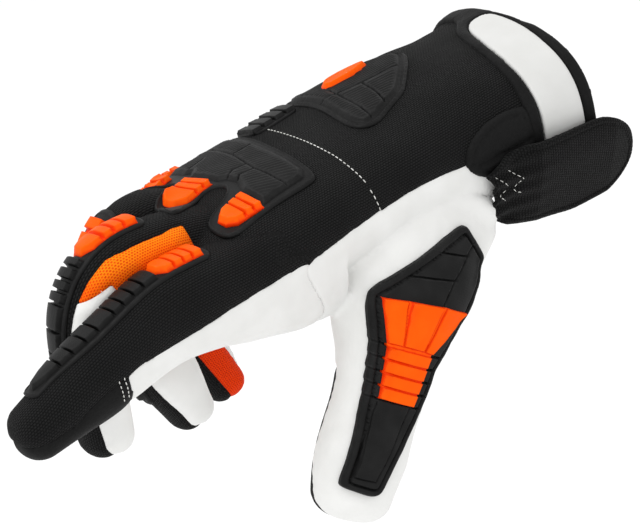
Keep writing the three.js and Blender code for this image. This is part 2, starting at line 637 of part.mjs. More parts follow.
const thumbBlock = (outline) => sideBlock(outline, -80, -30);
const barCorner = (side, step) => THUMB_BARS[side][0].map((value, k) =>
  THREE.MathUtils.lerp(value, THUMB_BARS[side][1][k], step / THUMB_BARS.count));
const thumbBars = Array.from({ length: THUMB_BARS.count }, (_, i) => [
  barCorner('left', i), barCorner('right', i), barCorner('right', i + 0.8), barCorner('left', i + 0.8),
]);
const thumbWeb = [
  THUMB_ORANGE[0][0], THUMB_ORANGE[1][0], THUMB_ORANGE[2][0], THUMB_ORANGE[2][1], THUMB_ORANGE[2][2],
  barCorner('right', 0), barCorner('right', 3.8), barCorner('left', 3.8), barCorner('left', 0), THUMB_ORANGE[0][3],
];
add('thumb_guard', 'rubber', guard(thumbBlock(THUMB_PLATE), THUMB_PANELS.map(thumbBlock), BLACK_BLOCK));
add('thumb_pad', 'orange', orangeBlocks(thumbBlock(thumbWeb), [...THUMB_ORANGE, ...thumbBars].map(thumbBlock)));

for (const { finger, width, start, change, end, orange, black } of STRIPS) {
  const foot = GUARD_BASE + GAP;
  const bends = [orange[1], change, black[1]];
  const inner = JOINT / 2 + SUNK;
  add(`${finger}_guard`, 'rubber', union([
    strip(finger, start - 2, end + 2, width, 2 * GAP, GUARD_BASE, bends),
    ...stripBlocks(finger, width, [change, ...black, end], 2 * GAP + SUNK, BLACK_BLOCK),
  ]).subtract(skin(GAP)));
  add(`${finger}_pad`, 'orange', union([
    strip(finger, start + inner, change - inner, width - 2 * (STRIP_MARGIN + SUNK), foot, foot + ORANGE_WEB, bends),
    ...stripBlocks(finger, width, [start, ...orange, change], foot + SUNK, ORANGE_BLOCK),
  ]));
}

const insetWindow = planBlock(grownOutline(INSET.outline, GAP), INSET.bottom - GAP);
add('cuff_band', 'knit', layer(planBlock(BAND, -60), GAP, CUFF_BAND).subtract(insetWindow));
add('cuff_inset', 'leather', layer(planBlock(INSET.outline, INSET.bottom), GAP, INSET.height));
add('wrist_patch', 'binding', layer(sideBlock(WRIST_PATCH, -60, -20), GAP, GAP + PATCH));

const tabRings = TAB.stations.map(({ x, inwards }) => [
  ...TAB.face.map(([y, z]) => new THREE.Vector3(x, y + inwards, z)),
  ...TAB.face.map(([y, z]) => new THREE.Vector3(x, y + inwards + TAB.thick, z + TAB.thick / 2)).reverse(),
]);
add('pull_tab', 'knit', solid(loft(tabRings)).intersect(sideBlock(TAB.outline, -60, -10)));

export default root;
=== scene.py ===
# %% [markdown]
# # A work glove with rubber guards
# The object is a right-hand work glove as it looks when it is worn: black knit on the back of the hand, pale leather
# on the palm and thumb, orange mesh between the fingers, and moulded rubber guards over every bone that could be hit.
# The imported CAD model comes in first. It stays as it is, and each piece of cloth or rubber made here stands for one or
# more of its nodes.

# %% Load the fixed frame
import json
import math

import bmesh
import bpy
import numpy as np
from mathutils import Matrix, Vector
from mathutils.bvhtree import BVHTree
from mathutils.geometry import delaunay_2d_cdt
from mathutils.kdtree import KDTree

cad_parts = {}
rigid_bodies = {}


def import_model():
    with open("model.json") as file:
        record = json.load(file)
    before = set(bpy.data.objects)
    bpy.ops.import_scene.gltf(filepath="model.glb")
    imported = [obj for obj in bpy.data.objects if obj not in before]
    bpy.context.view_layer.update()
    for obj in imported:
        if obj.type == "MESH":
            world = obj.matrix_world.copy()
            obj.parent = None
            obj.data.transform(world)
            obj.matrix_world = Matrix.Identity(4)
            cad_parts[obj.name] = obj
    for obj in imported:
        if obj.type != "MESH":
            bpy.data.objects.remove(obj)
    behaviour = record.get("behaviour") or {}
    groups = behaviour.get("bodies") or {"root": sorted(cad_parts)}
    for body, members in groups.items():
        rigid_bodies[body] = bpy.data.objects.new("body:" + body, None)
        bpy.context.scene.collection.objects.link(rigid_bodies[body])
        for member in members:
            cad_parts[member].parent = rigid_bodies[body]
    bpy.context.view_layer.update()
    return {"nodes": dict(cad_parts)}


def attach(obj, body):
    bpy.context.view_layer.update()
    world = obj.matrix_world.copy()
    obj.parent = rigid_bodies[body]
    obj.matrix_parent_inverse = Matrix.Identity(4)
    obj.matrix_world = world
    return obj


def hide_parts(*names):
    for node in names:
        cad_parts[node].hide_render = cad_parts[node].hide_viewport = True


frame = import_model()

MM = 0.001
scene = bpy.context.scene
print("CAD nodes:", len(frame["nodes"]))

# %% [markdown]
# ## The hand as six tubes
# A glove that is worn has the shape of the hand in it. Each finger is a tube with an oval section, and so is the palm.
# A row is one section: its centre, half its width, and how far it reaches to the back and to the palm. The numbers
# are close to those of the CAD part, in millimetres, so the soft skin made here follows the CAD solids.

# %% Sections of the palm and the fingers
PALM = [
    (0, 0, 0, 43, 25, 27), (-30, 0, 0, 41.5, 24, 26), (-58, 0, -1, 40, 22, 26), (-85, 0, -1, 41, 20, 26),
    (-115, 0, -1, 43, 18.5, 25), (-142, 0, -2, 44, 17.5, 22), (-160, 0, -3, 42, 13, 17),
]
INDEX = [
    (-114, -28, -4, 14, 13, 30), (-132, -30, -3, 14, 14, 28.5), (-150, -31, -3, 13.5, 13.5, 24.5),
    (-166, -32, -3, 13, 14.8, 19), (-182, -33, -4, 12.5, 15.6, 15.5), (-200, -34, -8, 12, 14.3, 14),
    (-218, -35, -13, 11.8, 13.4, 11.3), (-236.3, -35, -18.2, 11, 10.8, 8),
]
MIDDLE = [
    (-142, -9, 1, 12.5, 13, 14), (-168, -10, 8, 12.5, 12.5, 12), (-185, -11, 8.5, 12, 12, 9),
    (-196, -12, 0, 12, 11.5, 9), (-201, -13, -16, 11.5, 11, 10), (-203.2, -12.9, -42.5, 10.2, 10.5, 8.5),
]
RING = [
    (-140, 13, 0, 12, 13, 14), (-158, 12, 7.5, 12, 12, 12.5), (-170, 11, 3.8, 11.5, 11.5, 10.5),
    (-176.3, 10, -9, 11.5, 11, 9), (-173, 7, -28, 11.5, 11, 10), (-168, 5, -42, 11, 11.5, 11),
    (-162.2, 5, -59.5, 9, 9.5, 7.8),
]
LITTLE = [
    (-132, 33, -2, 11, 12, 14), (-146, 33, -1, 11, 11, 10), (-156, 32, -9, 10.5, 10, 8), (-156, 29, -24, 10, 9.5, 8.5),
    (-148, 25, -42, 9.5, 9.5, 12), (-138.5, 22.3, -67, 8, 8.5, 7.5),
]
THUMB = [
    (-62, -20, -20, 24, 20, 16), (-84, -29, -28, 28, 18, 16), (-98, -36, -40.5, 23, 16, 13),
    (-107.4, -41, -52, 18, 15, 10), (-118.2, -45, -64.4, 16, 14, 11), (-130.2, -48, -77.6, 16.3, 14, 12),
    (-138, -50, -88, 14.5, 13, 12),
]
# The way that the back of the thumb faces, and how far the palm's end slants towards the shorter outer fingers.
THUMB_BACK = (-0.19, -0.936, 0.298)
KNUCKLE_SLANT = 0.4


def unit(vectors):
    """The vectors with a length of one."""
    vectors = np.asarray(vectors, float)
    return vectors / np.maximum(np.linalg.norm(vectors, axis=-1, keepdims=True), 1e-9)


def smooth(value, low, high):
    """0 below low, 1 above high, and a soft rise between."""
    t = np.clip((value - low) / (high - low), 0, 1)
    return t * t * (3 - 2 * t)


def smooth_line(points, steps=60):
    """A dense smooth line through all the points."""
    points = np.array(points, float)
    p = np.vstack([2 * points[0] - points[1], points, 2 * points[-1] - points[-2]])
    t = np.linspace(0, 1, steps, endpoint=False)[:, None]
    spans = [
        b + 0.5 * (c - a) * t + (a - 2.5 * b + 2 * c - 0.5 * d) * t**2 + 0.5 * (d - a + 3 * (b - c)) * t**3
        for a, b, c, d in zip(p[:-3], p[1:-2], p[2:-1], p[3:])
    ]
    return np.vstack(spans + [points[-1:]])


class Tube:
    """A finger or the palm: a centreline with a section that changes along it."""

    def __init__(self, rows, power=2.3, upright=False, back=None):
        line = smooth_line(rows)
        self.at, self.side, self.back, self.palm = line[:, :3], line[:, 3], line[:, 4], line[:, 5]
        self.power = power
        steps = np.linalg.norm(np.diff(self.at, axis=0), axis=1)
        self.distance = np.concatenate([[0], np.cumsum(steps)])
        self.length = self.distance[-1]
        self.along = np.tile([-1.0, 0, 0], (len(line), 1)) if upright else unit(np.gradient(self.at, axis=0))
        if back is None:
            self.across = unit(np.array([0, 1.0, 0]) - self.along * self.along[:, 1:2])
        else:
            self.across = unit(np.cross(self.along, back))
        self.up = np.cross(self.across, self.along)
        self.lean = KNUCKLE_SLANT * smooth(-self.at[:, 0], 125, 160) if upright else np.zeros(len(line))

    def value(self, name, distance):
        column = getattr(self, name)
        if column.ndim == 1:
            return np.interp(distance, self.distance, column)
        return np.stack([np.interp(distance, self.distance, column[:, k]) for k in range(3)], axis=-1)

    def point(self, distance, angle, grow=0.0, shrink=1.0, shift=0.0):
        """The skin's point at a distance along the tube and an angle round it, from the across direction."""
        distance, angle = np.broadcast_arrays(np.asarray(distance, float), np.asarray(angle, float))
        c, s = np.cos(angle), np.sin(angle)
        rise = np.where(s >= 0, self.value("back", distance), self.value("palm", distance)) + grow
        u = (self.value("side", distance) + grow) * shrink * np.sign(c) * np.abs(c) ** (2 / self.power)
        v = rise * shrink * np.sign(s) * np.abs(s) ** (2 / self.power)
        w = shift - self.value("lean", distance) * np.maximum(0, u)
        at = self.value("at", distance)
        across, up, along = (self.value(k, distance) for k in ("across", "up", "along"))
        return at + across * u[..., None] + up * v[..., None] + along * w[..., None]


palm = Tube(PALM, power=2.5, upright=True)
fingers = {
    "index": Tube(INDEX), "middle": Tube(MIDDLE), "ring": Tube(RING), "little": Tube(LITTLE),
    "thumb": Tube(THUMB, power=2.2, back=THUMB_BACK),
}
tubes = {"palm": palm, **fingers}
print("Finger lengths in mm:", {name: round(tube.length) for name, tube in fingers.items()})

# %% [markdown]
# ## Meshes as arrays of numbers
# The cloth has many thousands of vertices. Moving them one by one in Python is slow, and the Knife tool can't follow a
# computed line, so the helpers below work on whole arrays: one smooths a mesh, one cuts it along a line, and one
# turns the result into an object.

# %% Mesh helpers


def split_quads(quads):
    """Quads as two triangles each."""
    return np.vstack([quads[:, [0, 1, 2]], quads[:, [0, 2, 3]]])


def edges_of(faces):
    """Every edge of a triangle mesh, once."""
    edges = np.sort(np.vstack([faces[:, [0, 1]], faces[:, [1, 2]], faces[:, [2, 0]]]), axis=1)
    return np.unique(edges, axis=0)


def relax(values, edges, rounds, taubin=True, hold=None):
    """Even out values, which may be points, over the mesh. The Taubin step keeps the volume."""
    values = np.array(values, float)
    flat = values.reshape(len(values), -1)
    count = np.bincount(edges.ravel(), minlength=len(flat)).astype(float)[:, None]
    for step in range(rounds):
        rate = 0.5 if step % 2 == 0 or not taubin else -0.52
        total = np.zeros_like(flat)
        for k in range(flat.shape[1]):
            total[:, k] = np.bincount(edges[:, 0], flat[edges[:, 1], k], len(flat)) + np.bincount(
                edges[:, 1], flat[edges[:, 0], k], len(flat))
        change = rate * (total / np.maximum(count, 1) - flat)
        if hold is not None:
            change[hold] = 0
        flat = flat + change
    return flat.reshape(values.shape)


def vertex_normals(vertices, faces):
    """The mean direction that the faces round each vertex look in, larger faces counting for more."""
    a, b, c = (vertices[faces[:, k]] for k in range(3))
    face = np.cross(b - a, c - a)
    total = np.zeros_like(vertices)
    for k in range(3):
        for axis in range(3):
            total[:, axis] += np.bincount(faces[:, k], face[:, axis], len(vertices))
    return unit(total)


def split_mesh(vertices, faces, field, carried):
    """Cut a mesh along the line where a field changes sign, and return what is inside, what is outside, and the
    shared vertices with all carried values."""
    field = np.where(np.abs(field) < 1e-5, 1e-5, field)
    side = field[faces] > 0
    count = side.sum(axis=1)
    whole_in, whole_out = faces[count == 3], faces[count == 0]
    mixed = faces[(count == 1) | (count == 2)]
    lone_inside = count[(count == 1) | (count == 2)] == 1
    lone = np.argmax(np.where(lone_inside[:, None], field[mixed] > 0, field[mixed] <= 0), axis=1)
    row = np.arange(len(mixed))
    a, b, c = mixed[row, lone], mixed[row, (lone + 1) % 3], mixed[row, (lone + 2) % 3]
    pairs = np.vstack([np.sort(np.stack([a, b], 1), 1), np.sort(np.stack([a, c], 1), 1)])
    cut, where = np.unique(pairs, axis=0, return_inverse=True)
    where = where.reshape(-1)
    t = np.clip(field[cut[:, 0]] / (field[cut[:, 0]] - field[cut[:, 1]]), 0.08, 0.92)[:, None]

    def stretched(values):
        flat = values.reshape(len(values), -1)
        return np.vstack([flat, flat[cut[:, 0]] * (1 - t) + flat[cut[:, 1]] * t]).reshape(-1, *values.shape[1:])

    ab, ac = len(vertices) + where[: len(mixed)], len(vertices) + where[len(mixed):]
    tips = np.stack([a, ab, ac], 1)
    rests = np.vstack([np.stack([ab, b, c], 1), np.stack([ab, c, ac], 1)])
    rest_lone = np.concatenate([lone_inside, lone_inside])
    inside = np.vstack([whole_in, tips[lone_inside], rests[~rest_lone]])
    outside = np.vstack([whole_out, tips[~lone_inside], rests[rest_lone]])
    return stretched(vertices), inside, outside, [stretched(v) for v in carried]


def used_only(vertices, faces, carried=()):
    """A mesh without its loose vertices, and the carried values of the vertices that stay."""
    used, renumbered = np.unique(faces, return_inverse=True)
    return vertices[used], renumbered.reshape(faces.shape), [v[used] for v in carried]


def new_mesh(name, vertices, faces, attributes=None, uv=None):
    """A mesh object from arrays in millimetres, shaded smooth, with named values and a UV map on its vertices."""
    mesh = bpy.data.meshes.new(name)
    mesh.vertices.add(len(vertices))
    mesh.vertices.foreach_set("co", (np.asarray(vertices) * MM).ravel().astype(np.float32))
    mesh.loops.add(faces.size)
    mesh.loops.foreach_set("vertex_index", faces.ravel().astype(np.int32))
    mesh.polygons.add(len(faces))
    mesh.polygons.foreach_set("loop_start", (np.arange(len(faces)) * faces.shape[1]).astype(np.int32))
    mesh.update(calc_edges=True)
    mesh.shade_smooth()
    for key, values in (attributes or {}).items():
        mesh.attributes.new(key, "FLOAT", "POINT").data.foreach_set("value", np.asarray(values, np.float32))
    if uv is not None:
        layer = mesh.uv_layers.new(name="cloth")
        layer.data.foreach_set("uv", uv[faces.ravel()].astype(np.float32).ravel())
    piece = bpy.data.objects.new(name, mesh)
    scene.collection.objects.link(piece)
    return piece


print("Mesh helpers are ready")

# %% [markdown]
# ## One soft skin over all tubes
# Sewn gloves have no hard corner where a finger leaves the palm. The tubes are therefore lofted, joined and given to
# the Remesh modifier in voxel mode, which melts overlapping volumes into one even skin. A relaxing filter then takes
# out the voxel steps. A sculptor could do the same by hand with Remesh and the Smooth brush.

# %% Loft the tubes


def loft(rings):
    """A closed tube through rings, with a fan at each end."""
    rings = np.array(rings)
    rows, sides = rings.shape[:2]
    points = np.vstack([rings.reshape(-1, 3), rings[0].mean(axis=0), rings[-1].mean(axis=0)])
    faces = []
    for r in range(rows - 1):
        for i in range(sides):
            j = (i + 1) % sides
            faces.append((r * sides + i, r * sides + j, (r + 1) * sides + j, (r + 1) * sides + i))
    caps = []
    for i in range(sides):
        j = (i + 1) % sides
        caps.append((rows * sides, j, i, i))
        caps.append((rows * sides + 1, (rows - 1) * sides + i, (rows - 1) * sides + j, (rows - 1) * sides + j))
    return points, faces, [c[:3] for c in caps]


# The angles round a ring, and the angles of the rings that close a fingertip as a dome.
ROUND = np.linspace(0, 2 * np.pi, 56, endpoint=False)
DOME = np.radians([18, 36, 52, 66, 78])
TUBE_RINGS = 40


def tube_rings(name):
    """The sections of one tube, with a dome at its closed end."""
    tube = tubes[name]
    rings = []
    if name == "palm":
        rings.append(tube.point(0, ROUND, shift=-6))
    if name == "thumb":
        reach = 0.42 * tube.back[0]
        rings += [tube.point(0, ROUND, shrink=math.cos(a) ** 0.8, shift=-reach * math.sin(a)) for a in DOME[::-1]]
    rings += [tube.point(d, ROUND) for d in np.linspace(0, tube.length, TUBE_RINGS)]
    reach = 9 if name == "palm" else 0.8 * tube.back[-1]
    rings += [tube.point(tube.length, ROUND, shrink=math.cos(a) ** 0.8, shift=reach * math.sin(a)) for a in DOME]
    return rings


VOXEL = 0.85
tube_vertices, tube_faces = [], []
for name in tubes:
    points, quads, caps = loft(tube_rings(name))
    start = sum(len(v) for v in tube_vertices)
    tube_vertices.append(points)
    tube_faces += [tuple(k + start for k in face) for face in quads + caps]
rough = bpy.data.meshes.new("rough hand")
rough.from_pydata(np.vstack(tube_vertices).tolist(), [], tube_faces)
tidy = bmesh.new()
tidy.from_mesh(rough)
bmesh.ops.recalc_face_normals(tidy, faces=tidy.faces)
tidy.to_mesh(rough)
tidy.free()
rough_hand = bpy.data.objects.new("rough hand", rough)
scene.collection.objects.link(rough_hand)
remesh = rough_hand.modifiers.new("one skin", "REMESH")
remesh.mode = "VOXEL"
remesh.voxel_size = VOXEL
bpy.context.view_layer.update()
melted = bpy.data.meshes.new_from_object(rough_hand.evaluated_get(bpy.context.evaluated_depsgraph_get()))
skin = np.zeros(len(melted.vertices) * 3)
melted.vertices.foreach_get("co", skin)
skin = skin.reshape(-1, 3)
quads = np.zeros(len(melted.polygons) * 4, int)
melted.polygons.foreach_get("vertices", quads)
skin_faces = split_quads(quads.reshape(-1, 4))
bpy.data.objects.remove(rough_hand)
skin = relax(skin, edges_of(skin_faces), 14)
print("Skin:", len(skin), "vertices")

# %% [markdown]
# ## Where each point lies on the hand
# Knit ribs run along the fingers, so the cloth pattern needs to know how far along and how far round each point is.
# For every point the nearest tube is found, and the distance along it and the arc length round it become the two
# coordinates of a UV map in millimetres. Unwrapping by hand would do the same with a seam on the palm side.

# %% Coordinates along and around


ARC_STEPS, ROW_STEP = 96, 12


def tube_place(tube, points):
    """Distance along, arc length round and how far outside a tube's skin the points are."""
    tree = KDTree(len(tube.at))
    for i, at in enumerate(tube.at):
        tree.insert(at, i)
    tree.balance()
    near = np.array([tree.find(p)[1] for p in points])
    if tube is palm:
        near = np.searchsorted(-tube.at[:, 0], -points[:, 0]).clip(0, len(tube.at) - 1)
    off = points - tube.at[near]
    u = (off * tube.across[near]).sum(axis=1)
    v = (off * tube.up[near]).sum(axis=1)
    w = (off * tube.along[near]).sum(axis=1)
    side = tube.side[near]
    rise = np.where(v >= 0, tube.back[near], tube.palm[near])
    a, b = np.abs(u) / side, np.abs(v) / rise
    ratio = np.maximum((a**tube.power + b**tube.power) ** (1 / tube.power), 1e-6)
    beyond = np.maximum(0, np.abs(w) - 2)
    outside = np.hypot((ratio - 1) * np.minimum(side, rise), beyond)
    angle = np.arctan2(np.sign(v) * (b / ratio) ** (tube.power / 2), np.sign(u) * (a / ratio) ** (tube.power / 2))
    angle = np.where(angle < -np.pi / 2, angle + 2 * np.pi, angle)
    turns = np.linspace(-np.pi / 2, 1.5 * np.pi, ARC_STEPS + 1)
    rings = np.stack([tube.point(d, turns) for d in tube.distance[::ROW_STEP]])
    arcs = np.concatenate([np.zeros((len(rings), 1)), np.cumsum(
        np.linalg.norm(np.diff(rings, axis=1), axis=2), axis=1)], axis=1)
    arcs -= arcs[:, ARC_STEPS // 2][:, None]
    place = (angle + np.pi / 2) / (2 * np.pi) * ARC_STEPS
    low = np.clip(place.astype(int), 0, ARC_STEPS - 1)
    row = np.clip(near // ROW_STEP, 0, len(arcs) - 1)
    arc = arcs[row, low] + (arcs[row, low + 1] - arcs[row, low]) * (place - low)
    return tube.distance[near] + w, arc, outside


def cloth_map(points):
    """UV in millimetres: along the hand, then round it, continuous over the knuckles."""
    best = np.full(len(points), 1e9)
    uv = np.zeros((len(points), 2))
    for tube in tubes.values():
        along, arc, outside = tube_place(tube, points)
        take = np.abs(outside) < best
        best[take] = np.abs(outside)[take]
        uv[take, 0] = along[take] - tube.at[0, 0]
        uv[take, 1] = arc[take] - tube.at[0, 1]
    return uv


print("Palm and fingers to measure along:", len(tubes))

# %% [markdown]
# ## Cutting the skin into its panels
# A glove is cut from flat pieces and sewn. The CAD part already holds the seams, as the gaps between its panels, so
# the fine skin is cut where the nearest CAD panel changes. The cut goes through the triangles, which keeps the seams
# crisp. A few borders are then moved by some millimetres, to where the real glove has them. The Knife tool can cut
# such lines by hand, but here a change to a line is one number.

# %% Read the seams from the CAD panels
PANELS = {
    "thumb_tip_patch": ["thumb_tip_patch"],
    "index_tip_patch": ["index_tip_patch"],
    "thumb_panel": ["thumb_panel", "thumb_front"],
    "index_middle_web": ["index_middle_web"],
    "middle_ring_web": ["middle_ring_web"],
    "ring_little_web": ["ring_little_web"],
    "palm_panel": ["palm_panel", "index_palm", "middle_palm", "ring_palm", "little_palm"],
    "back_panel": ["back_panel", "wrist_panel", "cuff_panel", "index_back", "middle_back", "ring_back", "little_back"],
}
REACH = 7.0
CUFF_RIM = -3.0


def panel_distance(nodes, points):
    """The squared distance of each point to some CAD panels, as far as REACH."""
    corners, polygons = np.zeros((0, 3)), []
    for node in nodes:
        data = frame["nodes"][node].data
        polygons += [tuple(k + len(corners) for k in p.vertices) for p in data.polygons]
        corners = np.vstack([corners, np.array([v.co for v in data.vertices]) / MM])
    tree = BVHTree.FromPolygons(corners.tolist(), polygons)
    near = np.all((points > corners.min(axis=0) - REACH) & (points < corners.max(axis=0) + REACH), axis=1)
    squared = np.full(len(points), REACH**2)
    for i in np.flatnonzero(near):
        found = tree.find_nearest(points[i], REACH)[3]
        if found is not None:
            squared[i] = found * found
    return squared


# The edge of the pale leather along the side of the hand, as X and Z.
LEATHER_EDGE = [
    (-206, -9.9), (-198.8, -9), (-175, -7.9), (-157, -6.6), (-142, -5.5), (-131.8, -5.3), (-126.4, -5.6), (-121, -4.8),
    (-115, -3.8), (-109.6, -2.8), (-98, -1.1), (-89, 0), (-80, 0.7), (-71, 0.3), (-64.5, -0.5), (-57.9, -1.9),
]
# The upper edge of the smooth patch on the index tip, on the same side.
TIP_EDGE = [
    (-246, -19), (-238, -18), (-231, -17.3), (-226, -16.3), (-222, -13.7), (-217.6, -12.2), (-213.3, -11.1),
    (-209, -10.2), (-204.8, -9.9),
]
# Where some panels stop towards the cuff, as X.
PANEL_END = {"index_tip_patch": -204.3, "index_middle_web": -157.8, "middle_ring_web": -163}


def web_border(x):
    """The height of the border between the orange mesh and the pale leather beside the index."""
    return 8.4 + 0.22 * (x + 202)


def moved_border(name, field, points):
    """A panel's field, which is positive inside it, with its borders moved to where the real glove has them."""
    x, y, z = points.T
    little_middle = -149 + 0.42 * (-42 - z)
    if name == "thumb_tip_patch":  # a lower edge on the thumb's back
        field = field - 2.6 * smooth(z, -84, -72)
    if name == "index_tip_patch":  # the near side, up to the line of its seam
        near_side = np.minimum.reduce([np.interp(x, *zip(*TIP_EDGE)) - z, -204.8 - x, -30 - y])
        field = np.maximum(field, near_side)
    if name == "index_middle_web":  # wider at both ends, and straight along the leather
        field = field + smooth(y, -22, -17) * (2.6 * smooth(-x, 180, 190) + 1.3 * smooth(x, -168, -161))
        field = np.minimum(field, z - web_border(x) + 3 * np.maximum(x + 191, 0))
    if name == "ring_little_web":  # down to the tip of the little finger, along its side
        strip = np.minimum.reduce([-44 - z, 19.5 - y, 3.4 + x - little_middle, little_middle + 8 - x])
        field = np.maximum(field, strip)
        field = np.where((z < -36) & (y > 12.5), np.minimum(field, 3.4 + x - little_middle), field)
    if name == "palm_panel":  # up to the mesh beside the index, less at its tip and on the little finger's back
        below_web = np.minimum.reduce([web_border(x) - z, -17.5 - y, y + 24, -186 - x, z + 6])
        field = np.maximum(field - 3 * smooth(-x, 222, 230), below_web)
        little_back = np.minimum.reduce([-36 - z, y - 12.5, little_middle - 2.4 - x, x - little_middle + 12])
        field = np.minimum(field, -little_back)
    if name in PANEL_END:
        field = np.minimum(field, PANEL_END[name] - x)
    return field


skin, skin_faces, _, _ = split_mesh(skin, skin_faces, CUFF_RIM - skin[:, 0], [])
skin, skin_faces, _ = used_only(skin, skin_faces)
gaps = np.stack([panel_distance(nodes, skin) for nodes in PANELS.values()], axis=1)
panel_names = list(PANELS)
pale, dark = [panel_names.index("palm_panel"), panel_names.index("thumb_panel")], panel_names.index("back_panel")

# Near the leather's edge, the pale panels win below it and the black knit wins above it.
below = np.interp(skin[:, 0], *zip(*LEATHER_EDGE)) - skin[:, 2]
on_side = (skin[:, 1] < -28) & (np.abs(below) < 6) & (skin[:, 0] > -204.5) & (skin[:, 0] < -60)
under, over = on_side & (below > 0), on_side & (below <= 0)
gaps[np.ix_(under, pale)] -= gaps[np.ix_(under, pale)].min(axis=1, keepdims=True)
gaps[under, dark] = np.maximum(gaps[under, dark], below[under] ** 2)
gaps[np.ix_(over, pale)] = np.maximum(gaps[np.ix_(over, pale)], (below[over] ** 2)[:, None])
gaps[over, dark] = 0

share, remaining = {}, skin_faces
for k, name in enumerate(panel_names[:-1]):
    others = gaps[:, k + 1:].min(axis=1)
    signed = others - gaps[:, k]
    field = relax(np.sign(signed) * np.sqrt(np.abs(signed)), edges_of(remaining), 16, taubin=False)
    field = moved_border(name, field, skin)
    skin, inside, remaining, [gaps] = split_mesh(skin, remaining, field, [gaps])
    share[name] = inside
share["back_panel"] = remaining


def islands(faces, count):
    """For each face, a number that all faces of the same connected piece share."""
    edges, label = edges_of(faces), np.arange(count)
    while True:
        before = label.copy()
        np.minimum.at(label, edges[:, 0], before[edges[:, 1]])
        np.minimum.at(label, edges[:, 1], before[edges[:, 0]])
        label = label[label]
        if np.array_equal(label, before):
            return label[faces[:, 0]]


# Crumbs of a panel with fewer triangles than this go to the panel round them.
SMALLEST = 250
owner, loose = np.full(len(skin), -1), []
for k, name in enumerate(panel_names):
    _, piece_of, size = np.unique(islands(share[name], len(skin)), return_inverse=True, return_counts=True)
    large = (size >= SMALLEST)[piece_of]
    loose += [share[name][piece_of == p] for p in np.flatnonzero(size < SMALLEST)]
    share[name] = share[name][large]
    owner[share[name]] = k
for faces in loose:
    votes = owner[np.unique(faces)]
    winner = panel_names[np.bincount(votes[votes >= 0], minlength=1).argmax()]
    share[winner] = np.vstack([share[winner], faces])
print("Crumbs given to their neighbours:", len(loose))
print("Triangles in each panel:", {name: len(faces) for name, faces in share.items()})

# %% [markdown]
# ## Seams, puckers and creases
# Sewn cloth dips along its seams, and leather gathers into small puckers next to them and creases where it bends. All
# of that is one height for each vertex, along its normal, so the effects simply add up. Sculpting gives the same with
# the Crease brush, but it can't be repeated after the shape changes.

# %% Let the skin dip along the seams


def swell(points, size, seed):
    """A soft uneven wave over the points, between about -1 and 1, with bumps of the given size."""
    rng = np.random.default_rng(seed)
    directions = unit(rng.normal(size=(7, 3)))
    phases = rng.uniform(0, 2 * np.pi, 7)
    return np.sin(points @ directions.T * (2 * np.pi / size) + phases).sum(axis=1) / 3.5


def line_distance(points, line):
    """How far the points are from a line through given corners, in 2D or 3D."""
    line = np.array(line, float)
    best = np.full(len(points), 1e9)
    for a, b in zip(line[:-1], line[1:]):
        t = np.clip(((points - a) @ (b - a)) / max(((b - a) ** 2).sum(), 1e-9), 0, 1)[:, None]
        best = np.minimum(best, np.linalg.norm(points - a - t * (b - a), axis=1))
    return best


def far_side_fall(points):
    """How much lower the far side of the knuckles and of the cuff lies than the plain ovals of the palm."""
    x, y, z = points.T
    knuckles = 0.00085 * np.maximum(y + 27, 0) ** 2 + 0.02 * np.maximum(y - 32, 0) ** 2
    knuckles *= smooth(-x, 84, 120) * (1 - smooth(-x, 130, 154))
    cuff = 1.4 * smooth(y, -35, 5) + 0.05 * np.maximum(y, 0)
    cuff *= smooth(x, -44, -22) * (1 - 0.55 * smooth(x, -16, -2))
    return (knuckles + cuff) * smooth(z, 0, 12)


# Where leather creases: the middle and the reach of a patch of the hand, the folds' size, their depth and a seed.
CREASED = [
    ((-52, -45, -22), (22, 20, 14), 24, 1.1, 31), ((-138, -38, -24), (16, 20, 16), 26, 0.25, 17),
    ((-100, -40, -20), (24, 16, 10), 34, 0.35, 44), ((-125, -50, -70), (20, 14, 24), 30, 0.3, 8),
]
# A seam is a sharp groove in a wide one. Each has a depth and a width.
SEAM_GROOVES = [(0.5, 0.8), (0.35, 3.2)]
# Points count as far from a seam beyond this distance, or when their two nearest panels differ by this much, squared.
FAR_FROM_SEAM, FAR_SQUARED = 9.0, 60
PUCKER_PITCH = 4.3
# The skin rises under the root of the pull tab: where, how far and how high.
TAB_ROOT, TAB_ROOT_REACH, TAB_ROOT_RISE = (-49, -35, -20.5), 8, 3.0

all_faces = np.vstack(list(share.values()))
all_edges = edges_of(all_faces)
used_by = np.zeros(len(skin), int)
side_of = np.full(len(skin), -1)
for k, name in enumerate(panel_names):
    members = np.unique(share[name])
    used_by[members] += 1
    side_of[members] = k
border = used_by > 1
along_border = all_edges[border[all_edges].all(axis=1)]
skin = np.where(border[:, None], relax(skin, along_border, 8), skin)
near_border = border.copy()
for _ in range(3):
    near_border[all_edges[near_border[all_edges].any(axis=1)]] = True
skin = np.where(near_border[:, None], relax(skin, all_edges, 8, hold=border), skin)
cloth_uv = cloth_map(skin)
seam_tree = KDTree(int(border.sum()))
for i, point in enumerate(skin[border]):
    seam_tree.insert(point, i)
seam_tree.balance()
two = np.sort(gaps, axis=1)[:, :2]
seam = np.full(len(skin), FAR_FROM_SEAM)
for i in np.flatnonzero(two[:, 1] - two[:, 0] < FAR_SQUARED):
    seam[i] = min(FAR_FROM_SEAM, seam_tree.find(skin[i])[2])
seam[border] = 0
leather = np.isin(side_of, [panel_names.index("palm_panel"), panel_names.index("thumb_panel")])
lift = -sum(depth * np.exp(-((seam / width) ** 2)) for depth, width in SEAM_GROOVES)
pucker = np.sin((cloth_uv[:, 0] + 0.4 * cloth_uv[:, 1]) * 2 * np.pi / PUCKER_PITCH + 2 * swell(skin, 15, 3))
lift += np.where(leather, 0.16, 0.04) * pucker * np.exp(-(((seam - 1.2) / 1.8) ** 2))
